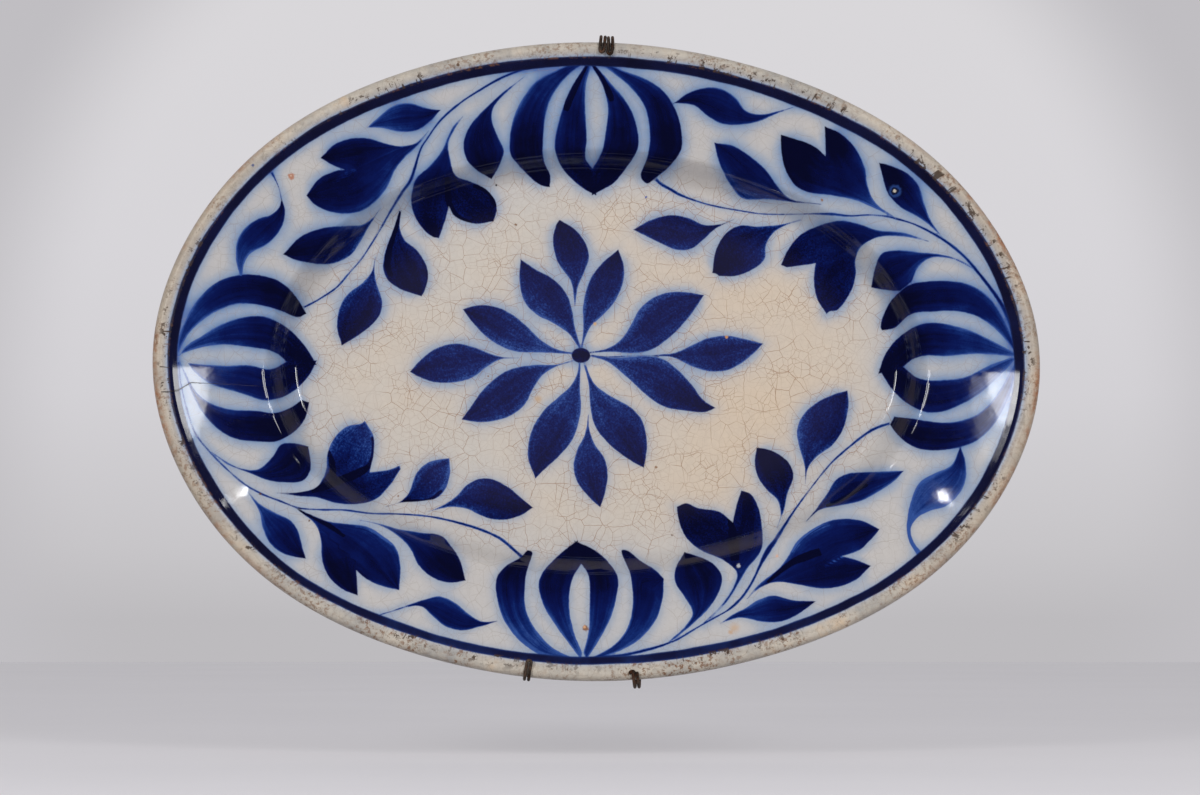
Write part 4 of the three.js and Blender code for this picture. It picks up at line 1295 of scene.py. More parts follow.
def add_grime(tree, place, scale, bare, softness):
    """A mask of grime; the more is left bare, from 0 to 1, the less of it there is."""
    node = tree.nodes.new("ShaderNodeGroup")
    node.node_tree = grime
    for name, value in (("Place", place), ("Scale", scale), ("Bare", bare), ("Softness", softness)):
        feed(tree, node.inputs[name], value)
    return node.outputs["Mask"]


glaze, tree, glaze_shader = new_material("painted_tin_glaze")
place = place_node(tree, "TexCoord").outputs["Object"]
paint_gap = attribute(tree, "paint_edge")
inset = attribute(tree, "rim_inset")
brush = attribute(tree, "brush_run", "Vector")
rim_point = attribute(tree, "rim_point", "Vector")
in_well = spread(tree, inset, 44.0, 58.0)
# How far into the deep well the painted reflection on the cobalt reaches.
well_reflection_share = spread(tree, inset, 60.0, 76.0)

# The brush marks: their edges waver and melt into the glaze, and the cobalt is streaked along the stroke.
# It lies dark down the middle and where it was laid on twice, and thin at the sides and where the brush
# ran dry.
waver = total(tree, swing(tree, grain(tree, place, 700.0, 3.0), 0.3),
              swing(tree, grain(tree, place, 170.0), 0.45))
edge_gap = reckon(tree, "ADD", paint_gap, waver)
in_paint = spread(tree, edge_gap, 0.25, -0.22)
streak = grain(tree, reckon_vector(tree, "MULTIPLY", brush, (0.03, 2.6, 1.0)), 1.0, 3.0, 0.6)
fine_streak = grain(tree, reckon_vector(tree, "MULTIPLY", brush, (0.08, 9.0, 1.0)), 1.0, 2.0, 0.6)
cloud = grain(tree, place, 70.0, 3.0, 0.6)
granule = grain(tree, place, 1300.0, 3.0, 0.75)
granule_swing = reckon(tree, "MULTIPLY_ADD", in_well, 1.1, 0.3)
granules = reckon(tree, "MULTIPLY", reckon(tree, "SUBTRACT", granule, 0.5), granule_swing)
across = reckon(tree, "ABSOLUTE", reckon_vector(tree, "DOT_PRODUCT", brush, (0.0, 1.0, 0.0)))
thin_sides = reckon(tree, "ADD", spread(tree, across, 0.3, 1.0, -0.07, 0.16),
                    spread(tree, edge_gap, -0.7, 0.0, 0.0, 0.3))
second_coat = spread(tree, reckon(tree, "ADD", attribute(tree, "second_gap"), waver), 0.5, -0.1, 0.0, 0.6)
ran_dry = spread(tree, reckon(tree, "ADD", attribute(tree, "dry_gap"),
                              reckon(tree, "MULTIPLY", waver, 3.0)), 0.7, -0.8)
ran_dry = product(tree, ran_dry, spread(tree, fine_streak, 0.35, 0.6), 0.55)
thinness = total(tree, attribute(tree, "paint_tone"), swing(tree, streak, 0.62),
                 swing(tree, fine_streak, 0.26), swing(tree, cloud, 0.7), granules, thin_sides, ran_dry)
thinness = reckon(tree, "SUBTRACT", thinness, second_coat, clamp=True)
cobalt = shades(tree, thinness,
                ((0.0, colour(5, 7, 36)), (0.25, colour(6, 12, 58)), (0.5, colour(9, 22, 80)),
                 (0.72, colour(18, 42, 106)), (1.0, colour(50, 80, 146))))
# Deep in the well a little grey-violet is mixed into the cobalt: a painted reflection of the grey room on the glaze
# over the dark paint.
cobalt = blend_colours(tree, reckon(tree, "MULTIPLY", well_reflection_share, 0.08), cobalt, colour(96, 92, 128))

# The band round the rim, laid on with one heavy stroke while the dish was turned.
band_height = reckon_vector(tree, "DOT_PRODUCT", rim_point, (0.0, 0.0, 1.0))
band_outer = spread(tree, band_height, -0.13, -0.03, 6.9, 6.2)
band_inner = 10.4
band_middle = reckon(tree, "MULTIPLY_ADD", band_outer, 0.5, band_inner / 2)
band_waver = total(tree, swing(tree, grain(tree, rim_point, 14.0), 2.0),
                   swing(tree, grain(tree, rim_point, 60.0), 0.5))
band_width_waver = swing(tree, grain(tree, place, 30.0), 1.1)
band_offset = reckon(tree, "ABSOLUTE",
                     reckon(tree, "SUBTRACT", reckon(tree, "ADD", inset, band_waver), band_middle))
band_gap = total(tree, band_offset, band_width_waver, reckon(tree, "MULTIPLY", waver, 0.5))
band_gap = reckon(tree, "SUBTRACT", band_gap, reckon(tree, "SUBTRACT", band_inner, band_middle))
in_band = spread(tree, band_gap, 0.3, -0.25)
band_tone = total(tree, swing(tree, cloud, 0.9), 0.22, spread(tree, band_gap, -0.9, 0.2, 0.0, 0.55),
                  spread(tree, band_height, -0.08, -0.13, 0.0, 0.3))
band_colour = shades(tree, band_tone, ((0.0, colour(14, 14, 36)), (0.45, colour(19, 22, 55)),
                                       (1.0, colour(30, 50, 106))))

# The lip: a greyer cream than the well, tanned where it is worn, most of all at the two ends.
at_ends = reckon(tree, "ABSOLUTE", reckon_vector(tree, "DOT_PRODUCT", rim_point, (1.0, 0.0, 0.0)))
at_ends = spread(tree, at_ends, 0.115, 0.175)
on_lip = product(tree, spread(tree, inset, 7.4, 6.6), spread(tree, inset, -4.0, -2.5))
lip_cloud = total(tree, grain(tree, rim_point, 38.0, 4.0, 0.65),
                  swing(tree, grain(tree, place, 320.0, 3.0, 0.7), 0.3))
lip_colour = shades(tree, lip_cloud, ((0.3, colour(158, 156, 152)), (0.45, colour(180, 173, 162)),
                                      (0.58, colour(194, 185, 171)), (0.75, colour(202, 178, 150))))
lip_colour = blend_colours(tree, reckon(tree, "MULTIPLY", at_ends, 0.35), lip_colour, colour(172, 150, 122))
edge_wear = product(tree, spread(tree, inset, 3.6, 0.8), spread(tree, inset, -4.5, -1.5),
                    spread(tree, grain(tree, rim_point, 26.0, 4.0, 0.7), 0.4, 0.62),
                    reckon(tree, "MULTIPLY_ADD", at_ends, 0.85, 0.1),
                    spread(tree, grain(tree, place, 520.0, 4.0, 0.75), 0.4, 0.58, 0.2, 1.0))
lip_colour = blend_colours(tree, edge_wear, lip_colour, colour(158, 100, 62))

# The bare glaze: cream in the well and greyer on the slopes. Blue bleeds into it from the paint all round.
warmth = spread(tree, grain(tree, place, 22.0, 3.0, 0.6), 0.3, 0.7, 0.0, 0.4, "LINEAR")
off_stain = reckon_vector(tree, "DISTANCE", place, one_from_nail(62.0, 0.0, -8.0))
well_warmth = reckon(tree, "MULTIPLY_ADD", spread(tree, off_stain, 0.11, 0.02), 0.5, warmth)
well_colour = blend_colours(tree, well_warmth, colour(198, 192, 184), colour(210, 190, 166))
slope_colour = blend_colours(tree, warmth, colour(195, 192, 189), colour(190, 182, 174))
far_colour = blend_colours(tree, spread(tree, inset, 46.0, 74.0), slope_colour, well_colour)
on_back = spread(tree, inset, -6.0, -9.0)
far_colour = blend_colours(tree, on_back, far_colour, colour(196, 187, 176))
far_colour = blend_colours(tree, on_lip, far_colour, lip_colour)
drift = spread(tree, grain(tree, place, 60.0, 3.0, 0.6), 0.25, 0.75, 0.75, 1.25, "LINEAR")
band_reach = spread(tree, inset, 6.5, 9.0, -1.1, -0.55)
band_bleed = reckon(tree, "EXPONENT",
                    reckon(tree, "MULTIPLY", reckon(tree, "MAXIMUM", band_gap, 0.0), band_reach))
bled = total(tree, product(tree, attribute(tree, "bleed"), spread(tree, on_lip, 0.0, 1.0, 1.0, 0.15)),
             reckon(tree, "MULTIPLY", band_bleed, 0.75))
bled = product(tree, bled, drift, spread(tree, in_well, 0.0, 1.0, 1.08, 0.75),
               spread(tree, band_height, -0.14, -0.02, 0.5, 1.0, "LINEAR"))
halo = shades(tree, reckon(tree, "MULTIPLY", bled, 0.7),
              ((0.0, colour(184, 180, 179)), (0.2, colour(175, 176, 181)), (0.33, colour(161, 169, 182)),
               (0.49, colour(147, 160, 182)), (0.68, colour(127, 148, 179)), (0.86, colour(105, 131, 174)),
               (1.0, colour(88, 112, 165))))
ground = blend_colours(tree, spread(tree, bled, 0.0, 0.36, kind="LINEAR"), far_colour, halo)
mottle = spread(tree, grain(tree, place, 420.0, 4.0, 0.7), 0.2, 0.8, 0.94, 1.04, "LINEAR")
ground = blend_colours(tree, 1.0, ground, mottle, "MULTIPLY")

# Crazing: nets of fine stained cracks, large cells cut up by smaller ones. It is brown in the well, where
# the stain went in, and faint on the slopes.
bend = place_node(tree, "TexNoise")
feed(tree, bend.inputs["Vector"], place)
bend.inputs["Scale"].default_value = 130.0
bent = reckon_vector(tree, "MULTIPLY_ADD", bend.outputs["Color"], (0.0026, 0.0026, 0.0026), place)
bent_parts = place_node(tree, "SeparateXYZ")
feed(tree, bent_parts.inputs[0], bent)
on_face = place_node(tree, "CombineXYZ")
feed(tree, on_face.inputs[0], bent_parts.outputs["X"])
feed(tree, on_face.inputs[1], bent_parts.outputs["Z"])
crazing = 0.0
for cells_per_metre, crack_width, low, high in ((62.0, 0.00016, 0.44, 0.6), (155.0, 0.00015, 0.35, 0.58),
                                                (310.0, 0.00011, 0.42, 0.62)):
    cells = place_node(tree, "TexVoronoi", feature="DISTANCE_TO_EDGE", voronoi_dimensions="2D")
    feed(tree, cells.inputs["Vector"], on_face.outputs[0])
    cells.inputs["Scale"].default_value = cells_per_metre
    line = spread(tree, cells.outputs["Distance"], 0.0, crack_width * cells_per_metre, 1.0, 0.0)
    here = spread(tree, grain(tree, place, 40.0 + cells_per_metre / 9, 2.0, 0.6), low, high, 0.2, 1.0)
    crazing = reckon(tree, "MAXIMUM", crazing, reckon(tree, "MULTIPLY", line, here))
crack_stain = blend_colours(tree, in_well, colour(142, 126, 112), colour(136, 94, 60))
stain_strength = spread(tree, in_well, 0.0, 1.0, 0.5, 0.85)
ground = blend_colours(tree, product(tree, crazing, stain_strength), ground, crack_stain)
pepper = product(tree, spread(tree, grain(tree, place, 1500.0, 2.0, 0.8), 0.66, 0.74), 0.4)
ground = blend_colours(tree, pepper, ground, colour(140, 112, 90))

surface = blend_colours(tree, in_paint, ground, cobalt)
surface = blend_colours(tree, in_band, surface, band_colour)

# Dirt on the lip: rusty freckles, most of them at the bottom, short dark cracks that stand on the band,
# and brown stains in patches.
freckles = product(tree, spread(tree, grain(tree, rim_point, 55.0, 3.0, 0.6), 0.43, 0.58, 0.15, 1.0),
                   spread(tree, grain(tree, place, 560.0, 4.0, 0.75), 0.5, 0.6), on_lip,
                   spread(tree, band_height, -0.09, -0.14, 0.6, 0.9))
surface = blend_colours(tree, freckles, surface, colour(116, 76, 44))
notch_place = reckon_vector(tree, "MULTIPLY_ADD", place, (0.12, 0.12, 0.12), rim_point)
off_band = reckon(tree, "SUBTRACT", band_outer, inset)
notches = spread(tree, grain(tree, notch_place, 400.0, 3.0, 0.7), 0.58, 0.62)
notch_length = spread(tree, grain(tree, rim_point, 110.0, 1.0), 0.3, 0.7, 0.2, 3.8, "LINEAR")
notches = product(tree, notches, spread(tree, reckon(tree, "SUBTRACT", off_band, notch_length), 0.3, -0.5))
stains = add_grime(tree, place, 240.0, 0.55, 0.03)
stains = product(tree, stains, spread(tree, off_band, 5.5, 2.0))
dirt_here = product(tree, spread(tree, grain(tree, rim_point, 20.0, 2.0, 0.5), 0.41, 0.55, 0.25, 1.0),
                    spread(tree, off_band, -1.2, -0.2), spread(tree, inset, -1.0, 1.0))
dirt = product(tree, reckon(tree, "MAXIMUM", notches, stains), dirt_here)
surface = blend_colours(tree, reckon(tree, "MULTIPLY", dirt, 0.9), surface, colour(64, 44, 28))

# Flaws of the firing and of use, each with its place, radius, softness and colour: the scars of the pins on
# which the dish stood in the kiln, iron specks, tan stains and stray drops of cobalt.
flaws = (
    (-129.4, 78.7, 1.9, 0.9, (172, 118, 92)), (-129.4, 78.9, 0.7, 0.6, (204, 178, 158)),
    (127.8, 72.5, 3.2, 1.4, (40, 66, 124)), (127.8, 72.5, 1.9, 0.5, (14, 14, 34)),
    (127.8, 72.5, 0.85, 0.5, (196, 186, 170)),
    (-4.0, -113.1, 1.7, 0.8, (128, 84, 56)), (-4.4, -112.7, 1.0, 0.8, (214, 164, 124)),
    (60.9, -86.9, 1.3, 0.9, (176, 178, 186)), (56.6, 11.8, 0.9, 0.5, (196, 142, 92)),
    (-42.6, 77.7, 0.6, 0.4, (34, 28, 28)), (-34.2, 60.7, 0.6, 0.5, (120, 88, 64)),
    (-46.1, -5.0, 0.7, 0.5, (128, 92, 66)), (-84.5, -56.7, 0.6, 0.5, (122, 84, 56)),
    (-141.6, -56.6, 0.8, 0.5, (90, 62, 44)), (-121.0, -68.0, 0.7, 0.5, (104, 74, 52)),
    (33.0, -73.4, 0.7, 0.5, (96, 70, 52)), (26.2, -44.2, 0.8, 0.6, (132, 96, 66)),
    (97.1, 69.5, 0.8, 0.6, (140, 104, 76)), (-58.3, 125.7, 1.0, 0.6, (92, 66, 46)),
    (-24.5, -14.9, 2.4, 2.0, (186, 160, 134)), (0.0, 17.5, 1.1, 0.8, (198, 160, 118)),
    (77.1, -82.7, 1.0, 0.8, (208, 168, 148)), (58.7, -113.1, 3.4, 3.3, (190, 166, 144)),
    (57.0, -114.9, 1.7, 1.6, (188, 158, 132)),
    (22.0, 72.6, 0.7, 0.4, (70, 92, 160)), (-145.2, 82.6, 0.9, 0.6, (70, 84, 128)),
)
flaw_waver = swing(tree, grain(tree, place, 700.0, 3.0, 0.7), 0.002)
for x, z, radius, softness, shade in flaws:
    flaw_depth = float(face_depth(inset_at(np.array([x]), np.array([z]))[0])[0])
    flaw_place = one_from_nail(x, flaw_depth, z)
    off_flaw = reckon(tree, "ADD", reckon_vector(tree, "DISTANCE", place, flaw_place), flaw_waver)
    flaw = spread(tree, off_flaw, radius / 1000, (radius - softness) / 1000, 0.0, 0.9)
    surface = blend_colours(tree, flaw, surface, colour(*shade))

# The crack: a dark line where it is open and a faint one where it only runs under the glaze.
crack_off = reckon(tree, "ADD", attribute(tree, "crack_off"), reckon(tree, "MULTIPLY", waver, 2.2))
crack_along = attribute(tree, "crack_along")
crack_width = spread(tree, crack_along, 14.0, 28.0, 0.34, 0.16)
crack = spread(tree, reckon(tree, "ABSOLUTE", crack_off), crack_width,
               reckon(tree, "MULTIPLY", crack_width, 0.35))
crack = product(tree, crack, spread(tree, crack_along, 20.0, 40.0, 0.95, 0.5),
                spread(tree, crack_along, 47.0, 44.0))
surface = blend_colours(tree, crack, surface, colour(40, 34, 34))

# The foot ring was wiped clean of glaze, so it shows the buff clay, with kiln grit and grey use on its edge.
foot_middle = foot_inset - foot_flare + foot_outline[-1][0] / 2
off_foot = reckon(tree, "ABSOLUTE", reckon(tree, "ADD", inset, foot_middle))
bare_clay = spread(tree, total(tree, off_foot, swing(tree, cloud, 1.2)), foot_width / 2 - 0.2,
                   foot_width / 2 - 1.0)
clay_grain = grain(tree, place, 800.0, 4.0, 0.7)
clay = shades(tree, clay_grain,
              ((0.3, colour(142, 112, 86)), (0.5, colour(176, 146, 114)), (0.7, colour(194, 168, 138))))
clay = blend_colours(tree, product(tree, add_grime(tree, place, 90.0, 0.48, 0.12), 0.6), clay,
                     colour(96, 84, 74))
surface = blend_colours(tree, bare_clay, surface, clay)
back_grime = product(tree, add_grime(tree, place, 24.0, 0.5, 0.16), on_back, 0.4)
surface = blend_colours(tree, back_grime, surface, colour(150, 132, 110))

feed(tree, glaze_shader.inputs["Base Color"], surface)
gloss = spread(tree, grain(tree, place, 300.0, 3.0, 0.6), 0.3, 0.7, 0.02, 0.06, "LINEAR")
dull = total(tree, reckon(tree, "MULTIPLY", dirt, 0.3), reckon(tree, "MULTIPLY", on_lip, 0.3),
             reckon(tree, "MULTIPLY", bare_clay, 0.75))
feed(tree, glaze_shader.inputs["Roughness"], reckon(tree, "ADD", gloss, dull))
glaze_shader.inputs["IOR"].default_value = 1.5
waves = reckon(tree, "MULTIPLY", grain(tree, place, 75.0, 2.0, 0.5), 0.000014)
ripples = reckon(tree, "MULTIPLY", grain(tree, place, 480.0, 2.0, 0.5), 0.0000022)
cracks = reckon(tree, "MULTIPLY", crack, -0.00002)
roughcast = product(tree, clay_grain, bare_clay, 0.00012)
raise_relief(tree, glaze_shader, total(tree, waves, ripples, cracks, roughcast))
platter_mesh.materials.append(glaze)
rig.replaces(platter, "platter")
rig.ride(platter, "platter_on_link")
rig.slot(platter, "glazed_earthenware")

# The hanging link: a ring of iron wire drawn out to a long loop. It hangs on the nail and holds the arms of
# the two top hooks and the springs of the two bottom ones, behind the dish.
link_straight = 20.0
bpy.ops.object.select_all(action="DESELECT")
link_place = one_from_nail(link_offset, -link_depth, link_height)
bpy.ops.mesh.primitive_torus_add(location=link_place, rotation=(math.pi / 2, 0, 0),
                                 major_radius=link_radius / 1000,
                                 minor_radius=link_wire / 2000, major_segments=96, minor_segments=20)
link = bpy.context.object
link.name = "hanging_link_wire"
bpy.ops.object.transform_apply(location=True, rotation=True, scale=True)
for side in (-1, 1):
    bpy.ops.object.mode_set(mode="EDIT")
    bpy.ops.mesh.select_all(action="DESELECT")
    bpy.ops.object.mode_set(mode="OBJECT")
    for vertex in link.data.vertices:
        vertex.select = (vertex.co.x - link_place.x) * side > 0.00001
    bpy.ops.object.mode_set(mode="EDIT")
    bpy.ops.transform.translate(value=(side * link_straight / 2000, 0, 0))
    bpy.ops.object.mode_set(mode="OBJECT")
bpy.ops.object.shade_smooth()

rusty_wire, tree, rust_shader = new_material("rusty_wire")
place = place_node(tree, "TexCoord").outputs["Object"]
flakes = grain(tree, place, 900.0, 5.0, 0.7)
patches = grain(tree, place, 160.0, 3.0, 0.6)
rust = shades(tree, total(tree, reckon(tree, "MULTIPLY", flakes, 0.6),
                          reckon(tree, "MULTIPLY", patches, 0.4)),
              ((0.3, colour(34, 28, 26)), (0.46, colour(60, 50, 44)), (0.58, colour(88, 74, 64)),
               (0.75, colour(122, 104, 88))))
rust = blend_colours(tree, product(tree, add_grime(tree, place, 420.0, 0.5, 0.1), 0.6), rust,
                     colour(112, 66, 38))
feed(tree, rust_shader.inputs["Base Color"], rust)
feed(tree, rust_shader.inputs["Metallic"], spread(tree, patches, 0.4, 0.6, 0.75, 0.35))
feed(tree, rust_shader.inputs["Roughness"], spread(tree, flakes, 0.35, 0.65, 0.42, 0.75))
raise_relief(tree, rust_shader, reckon(tree, "MULTIPLY", flakes, 0.00006))
link.data.materials.append(rusty_wire)
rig.replaces(link, "hanging_link")
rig.ride(link, "platter_on_link")
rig.slot(link, "rusty_wire")

# The top hooks: two arms of doubled iron wire, each curled round the link at the back and turned over the
# rim in a hairpin. They don't move while the dish hangs.
strand_spacing = 1.75
curl_sweep = math.radians(265)
bend_clearance = 2.0
bend_reach = 2.0
eye_offset = 7.0
curl_steps = 28
bend_steps = 7
rim_turn_steps = 25
fold_steps = 13
top_hooks = {
    "top_hook_left": {"along": 3.2, "nose_gap": 1.8, "tip_reach": 5.6, "lean": 0.15, "side": -1, "up": 1},
    "top_hook_right": {"along": 6.9, "nose_gap": 1.6, "tip_reach": 6.2, "lean": -0.8, "side": 1, "up": 1},
}


def make_arm(hook):
    """The straight line from the link to the rim behind the dish, and places along and beside it."""
    angle = hook["up"] * math.acos(hook["along"] / (platter_length / 2))
    rim = Vector((hook["along"], platter_height / 2 * float(swell_at(angle)) * math.sin(angle)))
    eye = Vector((link_offset + hook["side"] * eye_offset, link_height + hook["up"] * link_radius))
    ahead = (rim - eye).normalized()
    beside = Vector((ahead.y, -ahead.x)) * hook["up"]

    def at(far, off, behind):
        spot = eye + ahead * far + beside * off
        return one_from_nail(spot.x, -behind, spot.y)

    return (rim - eye).length, at


def hook_strand(hook, arm, eye_at, offset):
    """One of a hook's two wires, from its curl round the eye to the tip in front of the lip."""
    length, at = arm
    wire = hook_wire / 2
    behind_lip = rim_thickness - rim_depth + seat_gap + wire
    before_lip = -rim_depth - seat_gap - wire
    nose = length + hook["nose_gap"] + wire
    bend = length - foot_inset + bend_clearance
    tip = length - hook["tip_reach"] + wire + strand_spacing / 2
    slope = (behind_lip - arm_depth) / (length - nose_width - bend)
    points = []
    for turn in np.linspace(curl_sweep, 0, curl_steps):
        points.append(at(eye_at - curl_radius * math.sin(turn), offset,
                         link_depth - curl_radius * math.cos(turn)))
    points.append(at(bend - 2 * bend_reach, offset, arm_depth))
    for step in np.linspace(0.1, 0.9, bend_steps):
        curve = arm_depth + slope * bend_reach * 2 * step ** 2
        points.append(at(bend + (4 * step - 2) * bend_reach, offset, curve))
    points.append(at(bend + 2 * bend_reach, offset, arm_depth + slope * 2 * bend_reach))
    points.append(at(length - 3 * nose_width, offset, behind_lip - slope * 2 * nose_width))
    middle, reach = (behind_lip + before_lip) / 2, (behind_lip - before_lip) / 2
    for turn in np.linspace(0, math.pi, rim_turn_steps):
        far = length - nose_width + (nose - length + nose_width) * math.sin(turn)
        points.append(at(far, offset + hook["lean"] * turn / (2 * math.pi), middle + reach * math.cos(turn)))
    points.append(at(tip, offset + hook["lean"], before_lip))
    return points, tip, before_lip


def make_wire(name, points, thickness, sides):
    """A round wire along the points, with closed ends, as a mesh."""
    curve = bpy.data.curves.new(name, "CURVE")
    curve.dimensions = "3D"
    curve.bevel_depth = thickness / 2000
    curve.bevel_resolution = sides // 4 - 1
    curve.use_fill_caps = True
    spline = curve.splines.new("POLY")
    spline.points.add(len(points) - 1)
    for knot, point in zip(spline.points, points):
        knot.co = (*point, 1.0)
    wire = bpy.data.objects.new(name, curve)
    bpy.context.scene.collection.objects.link(wire)
    bpy.ops.object.select_all(action="DESELECT")
    wire.select_set(True)
    bpy.context.view_layer.objects.active = wire
    bpy.ops.object.convert(target="MESH")
    bpy.ops.object.shade_smooth()
    wire.data.materials.append(rusty_wire)
    return wire


def make_hook(name, hook, eye_at):
    """A hairpin of two strands side by side, joined by the fold at the tip."""
    arm = make_arm(hook)
    at = arm[1]
    half = strand_spacing / 2
    left, tip, before_lip = hook_strand(hook, arm, eye_at, -half)
    right, _, _ = hook_strand(hook, arm, eye_at, half)
    fold = []
    for turn in np.linspace(0, math.pi, fold_steps)[1:-1]:
        fold.append(at(tip - half * math.sin(turn), hook["lean"] - half * math.cos(turn), before_lip))
    wire = make_wire(name + "_wire", left + fold + right[::-1], hook_wire, 16)
    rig.replaces(wire, name)
    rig.slot(wire, "rusty_wire")
    return wire


for name, hook in top_hooks.items():
    wire = make_hook(name, hook, curl_radius - (hook_wire + link_wire) / 2 - seat_gap)
    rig.ride(wire, "platter_on_link")

# The bottom hooks: the same hairpins, but each hangs on a spring and can be drawn outward by about 12 mm to
# free the dish.
spring_wire = 1.0
spring_radius = 2.5
coil_pitch = 1.7
coil_turns = 22.25
loop_lift = 1.5
upper_loop = spring_radius - (link_wire + spring_wire) / 2 - seat_gap
first_coil = upper_loop + spring_radius + loop_lift
last_coil = first_coil + coil_pitch * coil_turns
lower_loop = last_coil + spring_radius + loop_lift
bottom_hooks = {
    "left": {"along": -28.7, "nose_gap": 0.3, "tip_reach": 7.8, "lean": 0.3, "side": -1, "up": -1},
    "right": {"along": 18.1, "nose_gap": 2.4, "tip_reach": 4.4, "lean": -2.3, "side": 1, "up": -1},
}
for side, hook in bottom_hooks.items():
    wire = make_hook("bottom_hook_" + side, hook, lower_loop + spring_radius + seat_gap / 2)
    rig.ride(wire, "bottom_hook_" + side)

# The springs: each is wound from one iron wire and has an open loop at either end. They stretch between the
# link and the bottom hooks and keep the grip on the rim.
loop_sweep = math.radians(243)
loop_steps = 22
steps_per_coil = 18
for side, hook in bottom_hooks.items():
    length, at = make_arm(hook)
    points = []
    for turn in np.linspace(loop_sweep, 0, loop_steps):
        points.append(at(upper_loop - spring_radius * math.sin(turn), 0,
                         link_depth + spring_radius * math.cos(turn)))
    points.append(at((upper_loop + first_coil) / 2, 0, link_depth + spring_radius))
    for part in np.linspace(0, 1, round(steps_per_coil * coil_turns)):
        turn = 2 * math.pi * coil_turns * part
        far = first_coil + (last_coil - first_coil) * part
        points.append(at(far, spring_radius * math.sin(turn), link_depth + spring_radius * math.cos(turn)))
    points.append(at((last_coil + lower_loop) / 2, spring_radius, link_depth))
    for turn in np.linspace(0, loop_sweep, loop_steps):
        points.append(at(lower_loop + spring_radius * math.sin(turn), spring_radius * math.cos(turn),
                         link_depth))
    spring = make_wire("spring_" + side + "_wire", points, spring_wire, 12)
    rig.replaces(spring, "spring_" + side)
    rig.slot(spring, "rusty_wire")
    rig.blend(spring, "platter_on_link", "bottom_hook_" + side, start=at(first_coil, 0, link_depth),
             end=at(last_coil, 0, link_depth))

# The floor: plain and pale, a little below the dish. It is darker under the two lights, outside the front
# view, so that it doesn't glare there when the dish is seen from behind.
floor_drop = 0.03
floor_size = 8.0
floor_height = Vector(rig.bounds()[0]).z - floor_drop
bpy.ops.object.select_all(action="DESELECT")
bpy.ops.mesh.primitive_plane_add(size=floor_size, location=(0, 0, floor_height))
floor = bpy.context.object
floor.name = "floor"
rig.stage(floor)
floor_paint, tree, floor_shader = new_material("pale_floor")
place = place_node(tree, "TexCoord").outputs["Object"]
parts = place_node(tree, "SeparateXYZ")
feed(tree, parts.inputs[0], place)
under_lights = product(tree, spread(tree, parts.outputs["Y"], -0.45, -0.95),
                       spread(tree, parts.outputs["Y"], -1.75, -1.5))
floor_tone = blend_colours(tree, grain(tree, place, 3.0, 4.0, 0.6), colour(196, 194, 197),
                           colour(206, 204, 207))
floor_tone = blend_colours(tree, under_lights, floor_tone, colour(124, 124, 126))
feed(tree, floor_shader.inputs["Base Color"], floor_tone)
floor_shader.inputs["Roughness"].default_value = 0.9
floor_shader.inputs["Specular IOR Level"].default_value = 0.1
seen = place_node(tree, "LightPath").outputs["Is Camera Ray"]
feed(tree, floor_shader.inputs["Emission Color"], colour(138, 137, 139))
feed(tree, floor_shader.inputs["Emission Strength"],
     reckon(tree, "MULTIPLY", seen, total(tree, spread(tree, parts.outputs["Y"], -0.7, 0.5, 0.75, 1.0),
                                          spread(tree, parts.outputs["Y"], -1.3, -1.7, 0.0, 0.4))))
floor.data.materials.append(floor_paint)
floor.visible_glossy = False

# The light: a pale room, two soft lights in front of the dish, one to each side, and beside them a few
# narrow ones that only show as reflections in the glaze. In a reflection the room in front is dark. More of
# the room's light comes from behind the dish, so that its back can be seen.
world = bpy.data.worlds.new("studio")
bpy.context.scene.world = world
world.use_nodes = True
tree = world.node_tree
background = tree.nodes["Background"]
ray = place_node(tree, "LightPath")
direction = place_node(tree, "TexCoord").outputs["Generated"]
parts = place_node(tree, "SeparateXYZ")
feed(tree, parts.inputs[0], direction)
backdrop = shades(tree, spread(tree, parts.outputs["Z"], 0.0, 0.2, 0.0, 1.0, "LINEAR"),
                  ((0.02, colour(189, 187, 190)), (0.14, colour(199, 197, 200)),
                   (0.39, colour(211, 209, 213)),
                   (0.63, colour(215, 213, 217)), (1.0, colour(217, 215, 218))))
backdrop_middle = (0.0, 0.997, 0.078)
off_middle = reckon_vector(tree, "DOT_PRODUCT", direction, backdrop_middle)
backdrop = blend_colours(tree, spread(tree, off_middle, 0.9857, 0.9757), backdrop, colour(192, 190, 194))
ambient = blend_colours(tree, spread(tree, parts.outputs["Y"], -0.1, 0.6), colour(152, 151, 154),
                        colour(190, 189, 193))
dark_room = colour(40, 40, 44)
behind = spread(tree, parts.outputs["Y"], 0.0, 0.4)
seen_in_gloss = blend_colours(tree, behind, dark_room, backdrop)
light = blend_colours(tree, ray.outputs["Is Glossy Ray"], ambient, seen_in_gloss)
light = blend_colours(tree, ray.outputs["Is Camera Ray"], light, backdrop)
feed(tree, background.inputs["Color"], light)
background.inputs["Strength"].default_value = 1.0


lamp_distance = 1.6


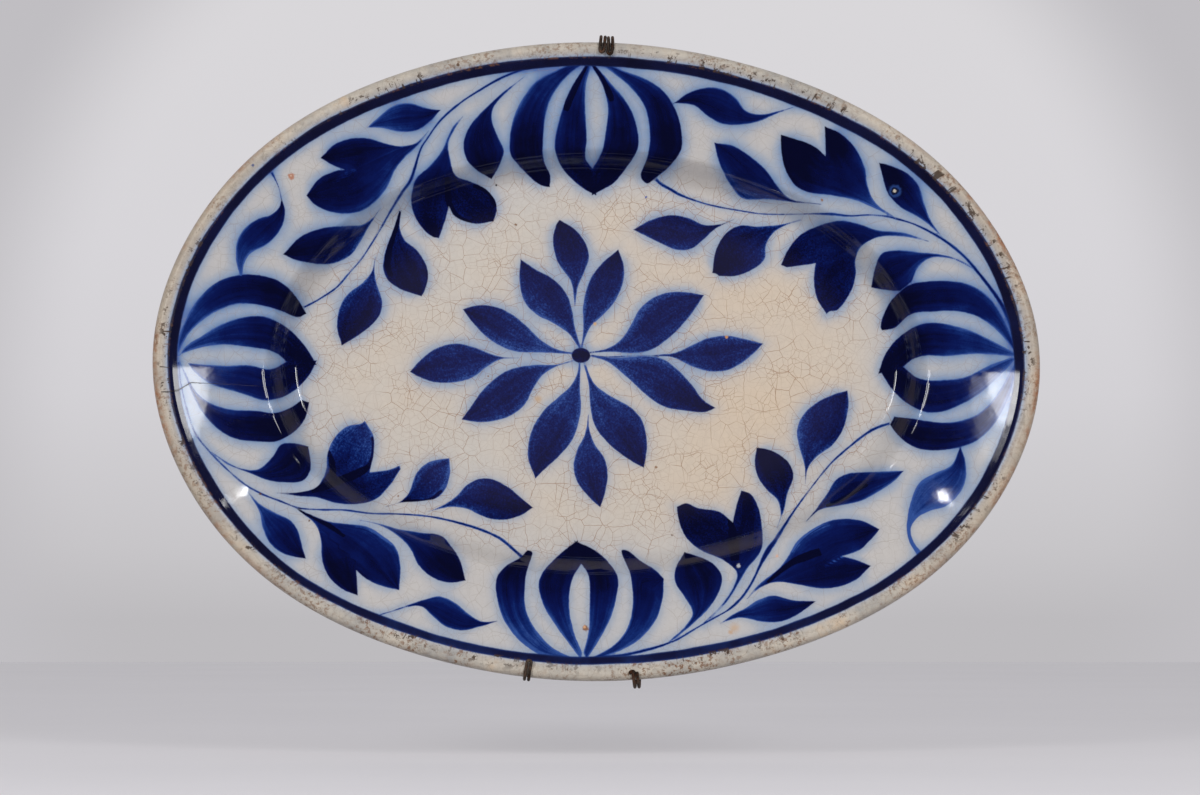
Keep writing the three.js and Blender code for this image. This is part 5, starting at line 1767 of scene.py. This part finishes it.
def soft_box(name, azimuth, elevation, width, height, power, mirrored):
    """An area light that faces the dish, this many degrees to the viewer's right and up from it. A mirrored
    one shows only as a reflection in the glaze, and any other only lights the dish."""
    lamp = bpy.data.lights.new(name, "AREA")
    lamp.shape = "RECTANGLE"
    lamp.size = width
    lamp.size_y = height
    lamp.energy = power
    box = bpy.data.objects.new(name, lamp)
    bpy.context.scene.collection.objects.link(box)
    aside, up = math.radians(azimuth), math.radians(elevation)
    middle = one_from_nail(0.0, 0.0, 0.0)
    away = Vector((math.sin(aside) * math.cos(up), -math.cos(aside) * math.cos(up), math.sin(up)))
    box.location = middle + away * lamp_distance
    box.rotation_euler = away.to_track_quat("Z", "Y").to_euler()
    box.visible_glossy = mirrored
    box.visible_diffuse = not mirrored


soft_box("fill_right", 24.0, 14.0, 0.4, 0.4, 10.3, False)
soft_box("fill_left", -24.0, 14.0, 0.4, 0.4, 10.3, False)
soft_box("box_right", 19.6, 12.2, 0.045, 0.33, 0.5, True)
soft_box("edge_right", 28.0, 12.2, 0.14, 0.33, 2.8, True)
soft_box("box_left", -19.5, 12.2, 0.033, 0.33, 0.42, True)
soft_box("veil_left", -18.7, 12.2, 0.05, 0.3, 0.12, True)
soft_box("edge_left", -28.5, 12.2, 0.14, 0.33, 2.8, True)
soft_box("spot_right", 15.65, 20.6, 0.01, 0.018, 0.027, True)
soft_box("spot_left", -14.9, 21.0, 0.014, 0.024, 0.05, True)

# The camera: in front of the dish and a little below its middle, looking slightly up.
camera_tilt = math.radians(4.46)
camera_reach = 1265.5
aim_right, aim_up = 2.12, -16.2
camera_data = bpy.data.cameras.new("camera")
camera_data.sensor_width = 36.0
camera_data.lens = 90.0
camera_data.clip_end = 50.0
camera = bpy.data.objects.new("camera", camera_data)
bpy.context.scene.collection.objects.link(camera)
aim = one_from_nail(aim_right, rim_depth, aim_up)
forward = Vector((0, math.cos(camera_tilt), math.sin(camera_tilt)))
camera.location = aim - forward * camera_reach / 1000
camera.rotation_euler = (math.pi / 2 + camera_tilt, 0, 0)
bpy.context.scene.camera = camera
bpy.context.scene.view_settings.view_transform = "Standard"

with open("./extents.json", "w") as sizes:
    boxes = {"cad": [list(map(float, corner)) for corner in cad_box],
             "visual": [list(map(float, corner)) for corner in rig.bounds()]}
    json.dump(boxes, sizes)
